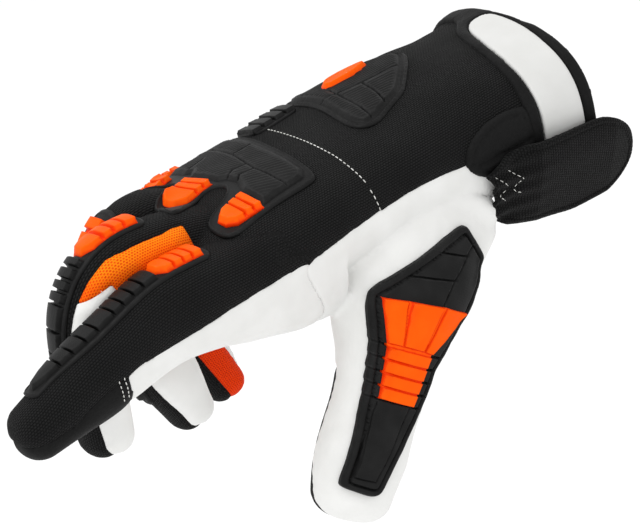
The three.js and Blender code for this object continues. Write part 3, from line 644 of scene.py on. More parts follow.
lift += np.where(leather, 0.3, 0.16) * swell(skin, 21, 5)
for middle, reach, size, depth, seed in CREASED:
    near = np.exp(-(((skin - middle) / reach) ** 2).sum(axis=1))
    lift -= leather * depth * near * np.exp(-((swell(skin, size, seed) / 0.22) ** 2))
lift = np.clip(relax(lift, all_edges, 2, taubin=False), -1.0, 1.0)
lift += TAB_ROOT_RISE * np.exp(-(((skin - TAB_ROOT) / TAB_ROOT_REACH) ** 2).sum(axis=1))
even_normals = unit(relax(vertex_normals(skin, all_faces), all_edges, 6, taubin=False))
skin = skin + even_normals * lift[:, None]
skin[:, 2] -= far_side_fall(skin)
skin_tree = BVHTree.FromPolygons(skin.tolist(), all_faces.tolist())
print("Deepest seam in mm:", round(float(-lift.min()), 2))

# %% [markdown]
# ## Shared effects as node groups
# Knit, mesh, grain and rubbed edges with a painted highlight are needed in several materials, so each is a node
# group that gives out only a height or a mask. The shader itself stays in the material. The cloth groups read the UV
# map in millimetres, which makes their inputs real sizes: a knit column 0.9 mm wide is the value 0.9.

# %% Node helpers


class Graph:
    """Short ways to add nodes to a tree."""

    def __init__(self, tree):
        self.tree = tree

    def add(self, kind, inputs=None, **settings):
        node = self.tree.nodes.new(kind)
        for key, value in settings.items():
            setattr(node, key, value)
        for key, value in (inputs or {}).items():
            socket = node.inputs[key]
            if isinstance(value, bpy.types.NodeSocket):
                self.tree.links.new(value, socket)
            else:
                socket.default_value = value
        return node

    def math(self, operation, *values, clamp=False):
        node = self.add("ShaderNodeMath", dict(enumerate(values)), operation=operation, use_clamp=clamp)
        return node.outputs[0]

    def blend(self, factor, low, high):
        node = self.add("ShaderNodeMix", data_type="RGBA")
        for socket, value in (("Factor_Float", factor), ("A_Color", low), ("B_Color", high)):
            target = next(s for s in node.inputs if s.identifier == socket)
            if isinstance(value, bpy.types.NodeSocket):
                self.tree.links.new(value, target)
            else:
                target.default_value = value
        return next(s for s in node.outputs if s.identifier == "Result_Color")

    def ramp(self, value, low, high):
        node = self.add("ShaderNodeMapRange", {"Value": value, "From Min": low, "From Max": high},
                        interpolation_type="SMOOTHSTEP")
        return node.outputs[0]


def new_group(name, inputs, outputs):
    """A shader node group with its sockets, its inner input node and a function that fills an output."""
    tree = bpy.data.node_groups.new(name, "ShaderNodeTree")
    for key, kind, value in inputs:
        socket = tree.interface.new_socket(name=key, in_out="INPUT", socket_type=kind)
        if value is not None:
            socket.default_value = value
    for key in outputs:
        tree.interface.new_socket(name=key, in_out="OUTPUT", socket_type="NodeSocketFloat")
    graph = Graph(tree)
    source = graph.add("NodeGroupInput")
    sink = graph.add("NodeGroupOutput")
    return graph, source.outputs, lambda key, value: tree.links.new(value, sink.inputs[key])


def colour(code):
    """A hex colour as linear RGBA."""
    parts = [int(code[k:k + 2], 16) / 255 for k in (1, 3, 5)]
    return [p / 12.92 if p <= 0.04045 else ((p + 0.055) / 1.055) ** 2.4 for p in parts] + [1]


print("Node helpers are ready")

# %% [markdown]
# ## Knit, mesh, grain, and rubbed edges with a painted highlight
# Knit is rows of small domed loops, and spacer mesh is rows of small holes. Both are staggered cells, so one function
# makes both groups. Grain is fine pores with creases between them, and nearly every finish has some of it. A rubbed
# edge is a mask: the outline of a block, broken up by noise, that paints lighter rubbing and a highlight together. An
# image texture would show its pixels this close.

# %% Knit, mesh, grain, and rubbed edges with a painted highlight


def cell_group(name, stagger):
    """Columns and rows of cells on the UV map: a domed height in each cell and a random tone for it."""
    graph, source, give = new_group(name, [
        ("UV", "NodeSocketVector", None), ("Column", "NodeSocketFloat", 1.1), ("Row", "NodeSocketFloat", 1.4),
    ], ["Height", "Rib", "Tone"])
    split = graph.add("ShaderNodeSeparateXYZ", {0: source["UV"]})
    across = graph.math("DIVIDE", split.outputs["Y"], source["Column"])
    column = graph.math("FLOOR", across)
    odd = graph.math("MULTIPLY", graph.math("MODULO", column, 2.0), stagger)
    along = graph.math("ADD", graph.math("DIVIDE", split.outputs["X"], source["Row"]), odd)
    domes = []
    for value in (across, along):
        centred = graph.math("SUBTRACT", graph.math("MULTIPLY", graph.math("FRACT", value), 2.0), 1.0)
        domes.append(graph.math("SUBTRACT", 1.0, graph.math("MULTIPLY", centred, centred)))
    cell = graph.add("ShaderNodeCombineXYZ", {0: column, 1: graph.math("FLOOR", along)})
    tone = graph.add("ShaderNodeTexWhiteNoise", {"Vector": cell.outputs[0]}, noise_dimensions="2D")
    give("Height", graph.math("MULTIPLY", domes[0], domes[1]))
    give("Rib", domes[0])
    give("Tone", tone.outputs["Value"])
    return graph.tree


KNIT = cell_group("Knit cells", 0.5)
MESH = cell_group("Mesh holes", 0.5)

graph, source, give = new_group("Grain", [("Vector", "NodeSocketVector", None), ("Size", "NodeSocketFloat", 1.0)],
                                ["Height", "Tone"])
scale = graph.math("DIVIDE", 1000.0, source["Size"])
pores = graph.add("ShaderNodeTexVoronoi", {"Vector": source["Vector"], "Scale": scale}, feature="SMOOTH_F1")
creases = graph.add("ShaderNodeTexNoise", {
    "Vector": source["Vector"], "Scale": graph.math("MULTIPLY", scale, 0.35), "Detail": 5.0, "Distortion": 0.6})
patches = graph.add("ShaderNodeTexNoise", {"Vector": source["Vector"], "Scale": graph.math("MULTIPLY", scale, 0.06),
                                           "Detail": 2.0})
give("Height", graph.math("ADD", graph.math("MULTIPLY", pores.outputs["Distance"], 0.6), creases.outputs["Fac"]))
give("Tone", patches.outputs["Fac"])
GRAIN = graph.tree

# The rubbed edge mask paints a highlight along the block edges together with lighter rubbing.
graph, source, give = new_group("Worn_and_highlit edges", [("Vector", "NodeSocketVector", None), ("Edge", "NodeSocketFloat", 0.0),
                                               ("Amount", "NodeSocketFloat", 0.7)], ["Factor"])
rub = graph.add("ShaderNodeTexNoise", {"Vector": source["Vector"], "Scale": 420.0, "Detail": 3.0})
worn_and_highlit = graph.math("MULTIPLY", graph.ramp(source["Edge"], 0.15, 0.9), graph.ramp(rub.outputs["Fac"], 0.3, 0.7))
give("Factor", graph.math("MULTIPLY", worn_and_highlit, source["Amount"], clamp=True))
WEAR_AND_HIGHLIGHT = graph.tree
print("Node groups:", [tree.name for tree in (KNIT, MESH, GRAIN, WEAR_AND_HIGHLIGHT)])

# %% [markdown]
# ## Materials
# Each finish has one material: its Principled shader takes a dark and a light tone, mixed by a mask, and a bump of
# less than half a millimetre. Black cloth is never pure black, or its folds would not show in the light.

# %% Materials


def new_material(name, **values):
    """A material whose Principled shader has the given constant values, and a graph to add detail."""
    material = bpy.data.materials.new(name)
    material.use_nodes = True
    graph = Graph(material.node_tree)
    shader = material.node_tree.nodes["Principled BSDF"]
    for key, value in values.items():
        shader.inputs[key.replace("_", " ")].default_value = value
    return material, graph, shader


def use_group(graph, tree, **inputs):
    return graph.add("ShaderNodeGroup", inputs, node_tree=tree).outputs


def cloth_vector(graph, turned=False):
    """The UV map in millimetres, turned a quarter for cloth whose columns run the other way."""
    place = graph.add("ShaderNodeUVMap", uv_map="cloth").outputs["UV"]
    if turned:
        split = graph.add("ShaderNodeSeparateXYZ", {0: place})
        place = graph.add("ShaderNodeCombineXYZ", {0: split.outputs["Y"], 1: split.outputs["X"]}).outputs[0]
    return place


def place_vector(graph):
    """The place on the glove in metres."""
    return graph.add("ShaderNodeTexCoord").outputs["Object"]


def bump(graph, shader, height, distance, strength=1.0):
    """Let a height bend the light, as if it were a distance in millimetres deep."""
    node = graph.add("ShaderNodeBump", {"Height": height, "Distance": distance * MM, "Strength": strength})
    graph.tree.links.new(node.outputs["Normal"], shader.inputs["Normal"])


def knit_material(name, low, high, column, row, turned=False):
    material, graph, shader = new_material(name, Roughness=0.85, Sheen_Weight=0.02, Sheen_Roughness=0.4,
                                           Specular_IOR_Level=0.12)
    cells = use_group(graph, KNIT, UV=cloth_vector(graph, turned), Column=column, Row=row)
    grain = use_group(graph, GRAIN, Vector=place_vector(graph), Size=1.0)
    # The loop's dome sets the colour: painted shade between the loops and a painted highlight on their tops, with
    # random tone.
    lit = graph.math("MULTIPLY", cells["Height"], graph.math("ADD", 0.8, graph.math("MULTIPLY", cells["Tone"], 0.2)))
    lit = graph.math("MULTIPLY", lit, graph.math("ADD", 0.6, grain["Tone"]), clamp=True)
    graph.tree.links.new(graph.blend(lit, colour(low), colour(high)), shader.inputs["Base Color"])
    height = graph.math("ADD", graph.math("MULTIPLY", cells["Rib"], 0.5), graph.math("MULTIPLY", cells["Height"], 0.7))
    bump(graph, shader, height, 0.35)
    return material


def plain_cloth(name, low, high):
    """Smooth, closely woven black cloth of bindings and the cuff."""
    material, graph, shader = new_material(name, Roughness=0.75, Sheen_Weight=0.02, Specular_IOR_Level=0.15)
    cells = use_group(graph, KNIT, UV=cloth_vector(graph), Column=0.55, Row=0.55)
    grain = use_group(graph, GRAIN, Vector=place_vector(graph), Size=0.8)
    lit = graph.math("ADD", graph.math("MULTIPLY", cells["Tone"], 0.35), graph.math("MULTIPLY", grain["Tone"], 0.5))
    graph.tree.links.new(graph.blend(lit, colour(low), colour(high)), shader.inputs["Base Color"])
    height = graph.math("ADD", graph.math("MULTIPLY", cells["Height"], 0.4), grain["Height"])
    bump(graph, shader, height, 0.12)
    return material


def leather_material(name, base, shade):
    material, graph, shader = new_material(name, Roughness=0.62, Specular_IOR_Level=0.35)
    grain = use_group(graph, GRAIN, Vector=place_vector(graph), Size=0.9)
    soft = use_group(graph, GRAIN, Vector=place_vector(graph), Size=6.0)
    tone = graph.math("MULTIPLY", graph.ramp(grain["Tone"], 0.3, 0.75), 0.5)
    graph.tree.links.new(graph.blend(tone, colour(base), colour(shade)), shader.inputs["Base Color"])
    height = graph.math("ADD", graph.math("MULTIPLY", grain["Height"], 0.25), soft["Height"])
    bump(graph, shader, height, 0.35, 0.6)
    return material


# Between these heights the mesh is painted lighter and turns gold, a painted highlight on its upper parts, and
# between the other two it turns red, a painted shade on its lower parts.
PAINTED_HIGHLIGHT_FROM, PAINTED_HIGHLIGHT_TO = 0.0100, 0.0162
PAINTED_SHADE_FROM, PAINTED_SHADE_TO = 0.011, -0.02


def mesh_material(name, painted_highlight, thread, hole, painted_shade):
    """Spacer mesh: bright threads round rows of darker holes, with a painted highlight that turns it gold high on the
    glove and painted shade that turns it red low down.
    """
    material, graph, shader = new_material(name, Roughness=0.75, Specular_IOR_Level=0.1)
    height = graph.add("ShaderNodeSeparateXYZ", {0: place_vector(graph)}).outputs["Z"]
    # The gold is a painted highlight high up and the red a painted shade low down, chosen by height alone.
    high = graph.ramp(height, PAINTED_HIGHLIGHT_FROM, PAINTED_HIGHLIGHT_TO)
    low = graph.ramp(height, PAINTED_SHADE_FROM, PAINTED_SHADE_TO)
    thread_tone = graph.blend(low, graph.blend(high, colour(thread), colour(painted_highlight)), colour(hole))
    hole_tone = graph.blend(low, colour(hole), colour(painted_shade))
    cells = use_group(graph, MESH, UV=cloth_vector(graph), Column=0.9, Row=0.9)
    open_part = graph.ramp(cells["Height"], 0.4, 0.95)
    open_part = graph.math("MULTIPLY", open_part, graph.math("ADD", 0.75, graph.math("MULTIPLY", cells["Tone"], 0.25)))
    graph.tree.links.new(graph.blend(open_part, thread_tone, hole_tone), shader.inputs["Base Color"])
    bump(graph, shader, graph.math("SUBTRACT", 1.0, open_part), 0.3)
    return material


def rubber_material(name, base, worn_and_highlit, painted_shade, roughness, specular, hatched):
    """Moulded rubber, lighter at its edges from rubbing and a painted highlight, with painted shade in its grooves
    and a fine slanted hatch on its face.
    """
    material, graph, shader = new_material(name, Roughness=roughness, Specular_IOR_Level=specular)
    place = place_vector(graph)
    edge = graph.add("ShaderNodeAttribute", attribute_name="edge").outputs["Fac"]
    groove = graph.add("ShaderNodeAttribute", attribute_name="groove").outputs["Fac"]
    edge_wear_and_highlight = use_group(graph, WEAR_AND_HIGHLIGHT, Vector=place, Edge=edge, Amount=0.75)
    grain = use_group(graph, GRAIN, Vector=place, Size=0.5)
    tone = graph.blend(graph.math("MULTIPLY", graph.ramp(grain["Tone"], 0.3, 0.8), 0.35), colour(base), colour(worn_and_highlit))
    # Lighter rubbing and a painted highlight along the block edges.
    tone = graph.blend(edge_wear_and_highlight["Factor"], tone, colour(worn_and_highlit))
    # The groove mask paints shade into the grooves.
    tone = graph.blend(groove, tone, colour(painted_shade))
    graph.tree.links.new(tone, shader.inputs["Base Color"])
    flat = graph.add("ShaderNodeSeparateXYZ", {0: cloth_vector(graph)})
    slant = graph.math("MULTIPLY", graph.math("ADD", flat.outputs["X"], flat.outputs["Y"]), 0.78)
    line = graph.math("ABSOLUTE", graph.math("SUBTRACT", graph.math("FRACT", slant), 0.5))
    height = graph.math("ADD", grain["Height"], graph.math("MULTIPLY", line, hatched))
    bump(graph, shader, height, 0.05)
    return material


def thread_material(name, base, shade):
    material, graph, shader = new_material(name, Roughness=0.6, Sheen_Weight=0.2)
    twist = graph.add("ShaderNodeTexWave", {"Vector": place_vector(graph), "Scale": 900.0, "Distortion": 1.5})
    graph.tree.links.new(graph.blend(twist.outputs["Fac"], colour(base), colour(shade)), shader.inputs["Base Color"])
    bump(graph, shader, twist.outputs["Fac"], 0.05)
    return material


# Both knits: a painted shade between the loops and a painted highlight on their tops.
BLACK_KNIT = knit_material("black knit", "#040404", "#202020", 0.9, 1.15)
TAB_KNIT = knit_material("pull tab knit", "#050505", "#1c1c1c", 1.05, 1.05, turned=True)
BLACK_CLOTH = plain_cloth("black cloth", "#080808", "#181818")
WHITE_LEATHER = leather_material("white leather", "#e9e9e7", "#dadad7")
WHITE_BINDING = leather_material("white binding", "#d4d4d2", "#cacac7")
# Orange mesh colours: a painted highlight, the thread, the holes, and a painted shade for low down.
ORANGE_MESH = mesh_material("orange mesh", "#ff8608", "#ff6600", "#ee3c00", "#c82400")
# Rubber colours: a base, a lighter one for rubbing and a painted edge highlight, and a painted shade for grooves.
BLACK_RUBBER = rubber_material("black rubber", "#141414", "#2a2a2a", "#050505", 0.5, 0.12, 0.6)
ORANGE_RUBBER = rubber_material("orange rubber", "#ff5800", "#ff6c0c", "#e63200", 0.5, 0.06, 0.0)
WHITE_THREAD = thread_material("white thread", "#f0f0ec", "#b8b8b2")
print("Materials:", len(bpy.data.materials))

# %% [markdown]
# ## The sewn panels
# Every panel is now its own mesh with the same UV map. The Solidify modifier gives it the thickness of cloth towards
# the inside, so the cuff shows a real edge. Modelling the thickness by hand would double the work at each change.

# %% Make the panels
WALL = 1.2
PANEL_FINISH = {
    "thumb_tip_patch": (BLACK_CLOTH, "black_leather"), "index_tip_patch": (BLACK_CLOTH, "black_leather"),
    "thumb_panel": (WHITE_LEATHER, "white_leather"), "palm_panel": (WHITE_LEATHER, "white_leather"),
    "index_middle_web": (ORANGE_MESH, "orange_mesh"), "middle_ring_web": (ORANGE_MESH, "orange_mesh"),
    "ring_little_web": (ORANGE_MESH, "orange_mesh"), "back_panel": (BLACK_KNIT, "black_knit"),
}


def finish_piece(piece, material, slot, *nodes):
    """Give a piece its material, let it ride with the hand and stand for its CAD nodes."""
    piece.data.materials.clear()
    piece.data.materials.append(material)
    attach(piece, "root")
    if nodes:
        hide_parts(*nodes)
    return piece


for name, faces in share.items():
    points, faces, [uv] = used_only(skin, faces, [cloth_uv])
    panel = new_mesh(name + "_cloth", points, faces, uv=uv)
    wall = panel.modifiers.new("cloth thickness", "SOLIDIFY")
    wall.thickness = WALL * MM
    wall.offset = -1
    material, slot = PANEL_FINISH[name]
    finish_piece(panel, material, slot, *PANELS[name])
    print(name, len(faces), "triangles")

# %% [markdown]
# ## Moulded rubber as height fields
# The guards are moulded in one go: a thin plate, a lip round its edge, raised blocks with slanted sides, and narrow
# joints where they bend. All of that is a height over a flat outline, so each guard starts as a fine flat mesh, and a
# few distances give the height at every point. A second function then lays the flat shape on the hand. Doing it by
# extruding and bevelling faces works too, but the shapes would be slow to change.

# %% Flat shapes


def inside_distance(outline, x, y):
    """How far inside a closed outline the points are, negative outside."""
    best = np.full(np.shape(x), 1e9)
    inside = np.zeros(np.shape(x), bool)
    outline = np.asarray(outline, float)
    for (ax, ay), (bx, by) in zip(outline, np.roll(outline, -1, axis=0)):
        ex, ey = bx - ax, by - ay
        t = np.clip(((x - ax) * ex + (y - ay) * ey) / max(ex * ex + ey * ey, 1e-9), 0, 1)
        best = np.minimum(best, np.hypot(x - ax - t * ex, y - ay - t * ey))
        if ay != by:
            inside ^= ((ay > y) != (by > y)) & (x < ax + (y - ay) / (by - ay) * ex)
    return np.where(inside, best, -best)


def rounded(outline, times=2, share=0.25, longest=2.2):
    """A closed outline with its corners cut again and again, which rounds them."""
    points = np.asarray(outline, float)
    for _ in range(times):
        after = np.roll(points, -1, axis=0)
        reach = np.minimum(share, longest / np.maximum(np.linalg.norm(after - points, axis=1), 1e-9))[:, None]
        points = np.stack([points + (after - points) * reach, after - (after - points) * reach], 1).reshape(-1, 2)
    return points


def to_line(x, y, *lines):
    """How far flat points are from the nearest of several lines."""
    points = np.stack([x, y], axis=1)
    return np.min([line_distance(points, line) for line in lines], axis=0)


def rise(distance, width):
    """A straight slanted side: 0 at the outline and 1 from a width inside it."""
    return np.clip(distance / width, 0, 1)


def lipped_plate(distance, thick=0.7, lip_height=0.45, lip_at=0.8, lip_width=0.35):
    """The height of a thin plate with a sharp lip a little way in from its edge."""
    return thick * rise(distance + 0.25, 0.6) + lip_height * np.clip(1 - np.abs(distance - lip_at) / lip_width, 0, 1)


def cut_depth(distance, floor, side):
    """1 on the floor of a groove and 0 beyond its side."""
    return 1 - rise(distance - floor, side)


def ribs(x, y, angle, pitch):
    """Fine parallel ridges that run at an angle."""
    phase = (-x * math.sin(math.radians(angle)) + y * math.cos(math.radians(angle))) / pitch
    return 1 - np.abs(2 * (phase - np.floor(phase)) - 1) ** 1.5


def lip(distance, at, width):
    """A soft bump that follows an edge at a distance from it."""
    return np.exp(-(((distance - at) / width) ** 2))


def turned(outline):
    """1 for an outline that runs anticlockwise and -1 for a clockwise one."""
    x, y = np.asarray(outline, float).T
    return 1 if (x * np.roll(y, -1) - y * np.roll(x, -1)).sum() > 0 else -1


def left_of(edges):
    """The directions to the left of flat edges."""
    edges = edges / np.maximum(np.linalg.norm(edges, axis=1), 1e-9)[:, None]
    return np.stack([-edges[:, 1], edges[:, 0]], 1)


def moved_in(outline, distance):
    """A closed outline moved inwards by a distance."""
    points = np.asarray(outline, float)
    two = left_of(np.roll(points, -1, axis=0) - points) * turned(points)
    one = np.roll(two, 1, axis=0)
    return points + distance * (one + two) / np.maximum(1 + (one * two).sum(axis=1), 0.35)[:, None]


def beside(line, distance):
    """The two lines that run on either side of an open line."""
    points = np.asarray(line, float)
    side = left_of(np.diff(points, axis=0))
    one, two = np.vstack([side[:1], side]), np.vstack([side, side[-1:]])
    shift = distance * (one + two) / np.maximum(1 + (one * two).sum(axis=1), 0.35)[:, None]
    return points + shift, points - shift


def slanted_top(foot, slants):
    """The top face of a block whose sides lean inwards by an amount of their own, one for each edge of its foot."""
    foot = np.asarray(foot, float)
    edges = np.roll(foot, -1, axis=0) - foot
    start = foot + left_of(edges) * turned(foot) * np.asarray(slants, float)[:, None]
    corners = []
    for k, after in enumerate(edges):
        before = edges[k - 1]
        cross = before[0] * after[1] - before[1] * after[0]
        if abs(cross) < 0.06 * np.linalg.norm(before) * np.linalg.norm(after):
            corners.append(start[k])
            continue
        gap = start[k] - start[k - 1]
        corners.append(start[k - 1] + before * (gap[0] * after[1] - gap[1] * after[0]) / cross)
    return np.array(corners)


print("Flat shapes are ready")

# %% [markdown]
# ## From flat to the hand
# A flat outline gets onto the hand by rays. From above, or from the thumb's side, each point drops onto the skin, as
# the Shrinkwrap modifier does in its project mode. The plate then bridges narrow hollows, because rubber is too stiff
# to sink into them. A strip on a curled finger can't be reached by parallel rays, so it follows the finger's own tube.

# %% Lay flat shapes on the hand


# Rays start above the back of the hand, at this Z, or beside the thumb, at this Y.
ABOVE, BESIDE = 70.0, -120.0


def cast(points, direction, axis):
    """Where rays meet the skin, along one axis. A ray that misses gives NaN."""
    direction = Vector(direction)
    depth = np.full(len(points), np.nan)
    for i, p in enumerate(points):
        hit = skin_tree.ray_cast(Vector(p), direction)[0]
        if hit is not None:
            depth[i] = hit[axis]
    return depth


def spread(values, edges, pick):
    """The largest, or the smallest, value among each point and its neighbours."""
    wide = values.copy()
    pick.at(wide, edges[:, 0], values[edges[:, 1]])
    pick.at(wide, edges[:, 1], values[edges[:, 0]])
    return wide


def bridged(depth, faces, points, reach=4.0):
    """A stiff plate doesn't drop into a narrow hollow: raise what lies in one, then even out small waves."""
    edges = edges_of(faces)
    step = np.linalg.norm(points[edges[:, 0]] - points[edges[:, 1]], axis=1).mean()
    depth = np.where(np.isnan(depth), -1e6, depth)
    while depth.min() < -1e5:
        depth = np.where(depth < -1e5, spread(depth, edges, np.maximum), depth)
    for pick in (np.maximum, np.minimum):
        for _ in range(round(reach / step)):
            depth = spread(depth, edges, pick)
    return relax(relax(depth, edges, round(5 / step), taubin=False), edges, 30)


def stretch(base, faces, axis):
    """How far a height along one axis must be stretched to be that height above a sloping base."""
    tilt = np.abs(vertex_normals(base, faces)[:, axis])
    return 1 / np.maximum(relax(tilt, edges_of(faces), 12, taubin=False), 0.6)


def on_back(x, y, faces):
    """From above: X and Y stay, and heights go up."""
    z = cast(np.stack([x, y, np.full(len(x), ABOVE)], 1), (0, 0, -1), 2)
    base = np.stack([x, y, bridged(z, faces, np.stack([x, y], 1))], 1)
    return base, np.stack([0 * x, 0 * x, stretch(base, faces, 2)], 1)


def on_thumb(x, z, faces):
    """From the thumb's side: X and Z stay, and heights go out along -Y."""
    y = cast(np.stack([x, np.full(len(x), BESIDE), z], 1), (0, 1, 0), 1)
    base = np.stack([x, -bridged(-y, faces, np.stack([x, z], 1)), z], 1)
    return base, np.stack([0 * x, -stretch(base, faces, 1), 0 * x], 1)


def on_finger(name, aside):
    """Along a finger: the first coordinate runs across its back, the second is the distance from its root."""
    tube = fingers[name]

    def place(u, d, faces):
        u = u + aside
        across = np.abs(u)

        def at_height(h):
            side = tube.value("side", d) + h
            v = (tube.value("back", d) + h) * np.maximum(1 - (across / side) ** tube.power, 0.02) ** (1 / tube.power)
            return tube.value("at", d) + tube.value("across", d) * u[:, None] + tube.value("up", d) * v[:, None]

        base = at_height(0)
        lift = at_height(1) - base
        base[:, 2] -= far_side_fall(base)
        return base, lift

    return place


print("Three ways to lay a shape on the hand: on the back, on the thumb, along a finger")

# %% [markdown]
# ## One function for all moulded pieces
# A mould has crisp edges, so the mesh has to have its own edges exactly there. Each outline, joint and block is given
# to a Delaunay triangulation as a fixed line, and rows of points fill the faces between. Top and bottom are then
# joined to one closed piece. How close each point is to a line is kept on the mesh, so the material finds the edges.

# %% Make a moulded piece


def close_sheet(top, bottom, faces):
    """Top and bottom layers of the same triangles, joined by a wall round their open edges."""
    count = len(top)
    directed = np.vstack([faces[:, [0, 1]], faces[:, [1, 2]], faces[:, [2, 0]]])
    _, inverse, times = np.unique(np.sort(directed, axis=1), axis=0, return_inverse=True, return_counts=True)
    border = directed[times[inverse.reshape(-1)] == 1]
    a, b = border[:, 0], border[:, 1]
    walls = np.vstack([np.stack([a, a + count, b + count], 1), np.stack([a, b + count, b], 1)])
    return np.vstack([top, bottom]), np.vstack([faces, faces[:, ::-1] + count, walls])


def ring(outline, kind=""):
    """A closed line for the triangulation: a ridge, a valley or neither."""
    return np.asarray(outline, float), True, kind


def crease(line, kind=""):
    """An open line for the triangulation."""
    return np.asarray(line, float), False, kind


def joint_lines(joints, narrow=0.22, wide=0.5):
    """A joint's floor and its two upper edges."""
    lines = []
    for joint in joints:
        lines += [crease(joint, "valley"), *map(crease, beside(joint, narrow))]
        lines += [crease(line, "ridge") for line in beside(joint, wide)]
    return lines


def rim_lines(outline):
    """The foot, the crest and the inner foot of the lip of a plate."""
    return [ring(moved_in(outline, 0.35)), ring(moved_in(outline, 0.8), "ridge"), ring(moved_in(outline, 1.15))]


def block_lines(blocks):
    """A block's foot and the edge of its top, each with a line close by that keeps the faces flat."""
    lines = []
    for foot, top in blocks:
        foot = np.asarray(foot, float)
        lines += [ring(foot + (top - foot) * share) for share in (-0.2, 0.15, 0.85)]
        lines += [ring(foot, "valley"), ring(top, "ridge"), ring(moved_in(top, 0.3))]
    return lines


def flat_mesh(outline, lines, spacing, turn, row):
    """Triangles over a flat outline. Their edges follow every given line, and between the lines they sit in rows."""
    corners, edges = [], []
    for line, closed, _ in [ring(outline), *lines]:
        ends = np.vstack([line, line[:1]]) if closed else line
        for a, b in zip(ends[:-1], ends[1:]):
            count = max(1, round(float(np.linalg.norm(b - a)) / spacing))
            edges += [(len(corners) + k, len(corners) + k + 1) for k in range(count)]
            corners += [a + (b - a) * k / count for k in range(count + 1)]
    corners = np.array(corners)
    along = np.array([math.cos(math.radians(turn)), math.sin(math.radians(turn))])
    across = np.array([-along[1], along[0]])
    reach = np.asarray(outline, float)
    rows = np.arange(math.floor((reach @ across).min() / row), (reach @ across).max() / row)
    steps = np.arange((reach @ along).min(), (reach @ along).max(), spacing)
    shifted = steps[None, :] + spacing / 2 * (rows[:, None] % 2)
    grid = shifted[..., None] * along + (rows[:, None] * row)[..., None] * across
    grid = grid.reshape(-1, 2)
    grid = grid[inside_distance(outline, grid[:, 0], grid[:, 1]) > 0.3 * spacing]
    tree = KDTree(len(corners))
    for i, (x, y) in enumerate(corners):
        tree.insert((x, y, 0), i)
    tree.balance()
    clear = [tree.find((x, y, 0))[2] > 0.4 * min(row, spacing) for x, y in grid]
    everything = np.vstack([corners, grid[clear]])
    found = delaunay_2d_cdt([Vector(p) for p in everything], edges, [], 0, 1e-4, False)
    flat, faces = np.array(found[0]), np.array([f for f in found[2] if len(f) == 3])
    centre = flat[faces].mean(axis=1)
    a, b, c = (flat[faces[:, k]] for k in range(3))
    area = np.abs((b - a)[:, 0] * (c - a)[:, 1] - (b - a)[:, 1] * (c - a)[:, 0])
    faces = faces[(inside_distance(outline, centre[:, 0], centre[:, 1]) > 0) & (area > 1e-7)]
    flat, faces, _ = used_only(flat, faces)
    return flat, faces


def moulded(name, outline, height, place, lines=(), spacing=0.6, turn=30, row=0.5, low=-0.6):
    """A closed piece from a flat outline, a height over it and a way to lay it on the hand."""
    flat, faces = flat_mesh(outline, lines, spacing, turn, row)
    x, y = flat[:, 0], flat[:, 1]
    heights = height(x, y, inside_distance(outline, x, y))
    base, lift = place(x, y, faces)
    top, bottom = base + lift * heights[:, None], base + lift * low
    out = (vertex_normals(top, faces) * lift).sum()
    if out < 0:
        faces = faces[:, ::-1]
    marks = {}
    # Ridges get lighter rubbing and a painted highlight in the rubber material.
    for kind, width in (("ridge", 0.16), ("valley", 0.25)):
        chosen = [np.vstack([line, line[:1]]) if closed else line for line, closed, k in lines if k == kind]
        near = to_line(x, y, *chosen) if chosen else np.full(len(x), 9.0)
        # Valley lines become the groove mask, painted shade in the rubber.
        marks["edge" if kind == "ridge" else "groove"] = np.tile(np.exp(-((near / width) ** 2)), 2)
    vertices, closed = close_sheet(top, bottom, faces)
    return new_mesh(name, vertices, closed, marks, np.tile(flat, (2, 1)))


def blocks_height(blocks, x, y, low, high):
    """The tallest of several blocks. Each rises evenly from its foot to the edge of its top."""
    tallest = np.full(np.shape(x), float(low))
    for foot, top in blocks:
        within = inside_distance(foot, x, y)
        short = np.maximum(-inside_distance(top, x, y), 0)
        share = np.clip(within / np.maximum(within + short, 1e-6), 0, 1)
        tallest = np.maximum(tallest, low + (high - low) * share)
    return tallest


print("Moulding tools are ready")

# %% [markdown]
# ## The plate over the knuckles
# The largest guard is one flexible plate. Its middle is raised and ribbed, narrow joints let it bend over the
# knuckles, and flat tongues reach onto the fingers to carry the orange blocks.

# %% Knuckle guard
KNUCKLE_PLATE = [
    (-105, 40), (-106, 14), (-108.6, -23), (-109.6, -28.2), (-113, -29.6), (-125, -30), (-148, -32.5), (-151, -29),
    (-151, -19), (-136.5, -12), (-133, -7), (-136, -2.5), (-143, -4), (-154, -12), (-159, -12), (-157.5, 3),
    (-139, 16.5), (-152.5, 19.5), (-153, 24), (-142, 31), (-141, 40), (-137, 42),
]
KNUCKLE_TOP = [
    (-107.3, 37), (-108.6, 14), (-111, -22.5), (-113.5, -25.8), (-125, -27), (-131.8, -28.2), (-132.4, -16),
    (-129.5, -8.5), (-130.5, -3), (-132.8, -1), (-135, 13.5), (-132.5, 17.5), (-134, 19.5), (-133.5, 31),
    (-122.5, 33), (-121.5, 40),
]
KNUCKLE_JOINTS = [
    [(-117, 27), (-117.8, 18), (-118.4, 10.2), (-120.4, -2.1), (-121.1, -7.9), (-120.6, -22.5), (-120.2, -25.5)],
    [(-118.4, 10.2), (-110, 10)],
    [(-120.4, -2.1), (-126, -1.1), (-130.2, -3.6)],
    [(-121.1, -7.9), (-126.7, -6.6), (-129.7, -9.2)],
    [(-124, 22.4), (-131, 20.2)],
]
RIB_TURN, RIB_PITCH = -28, 1.7


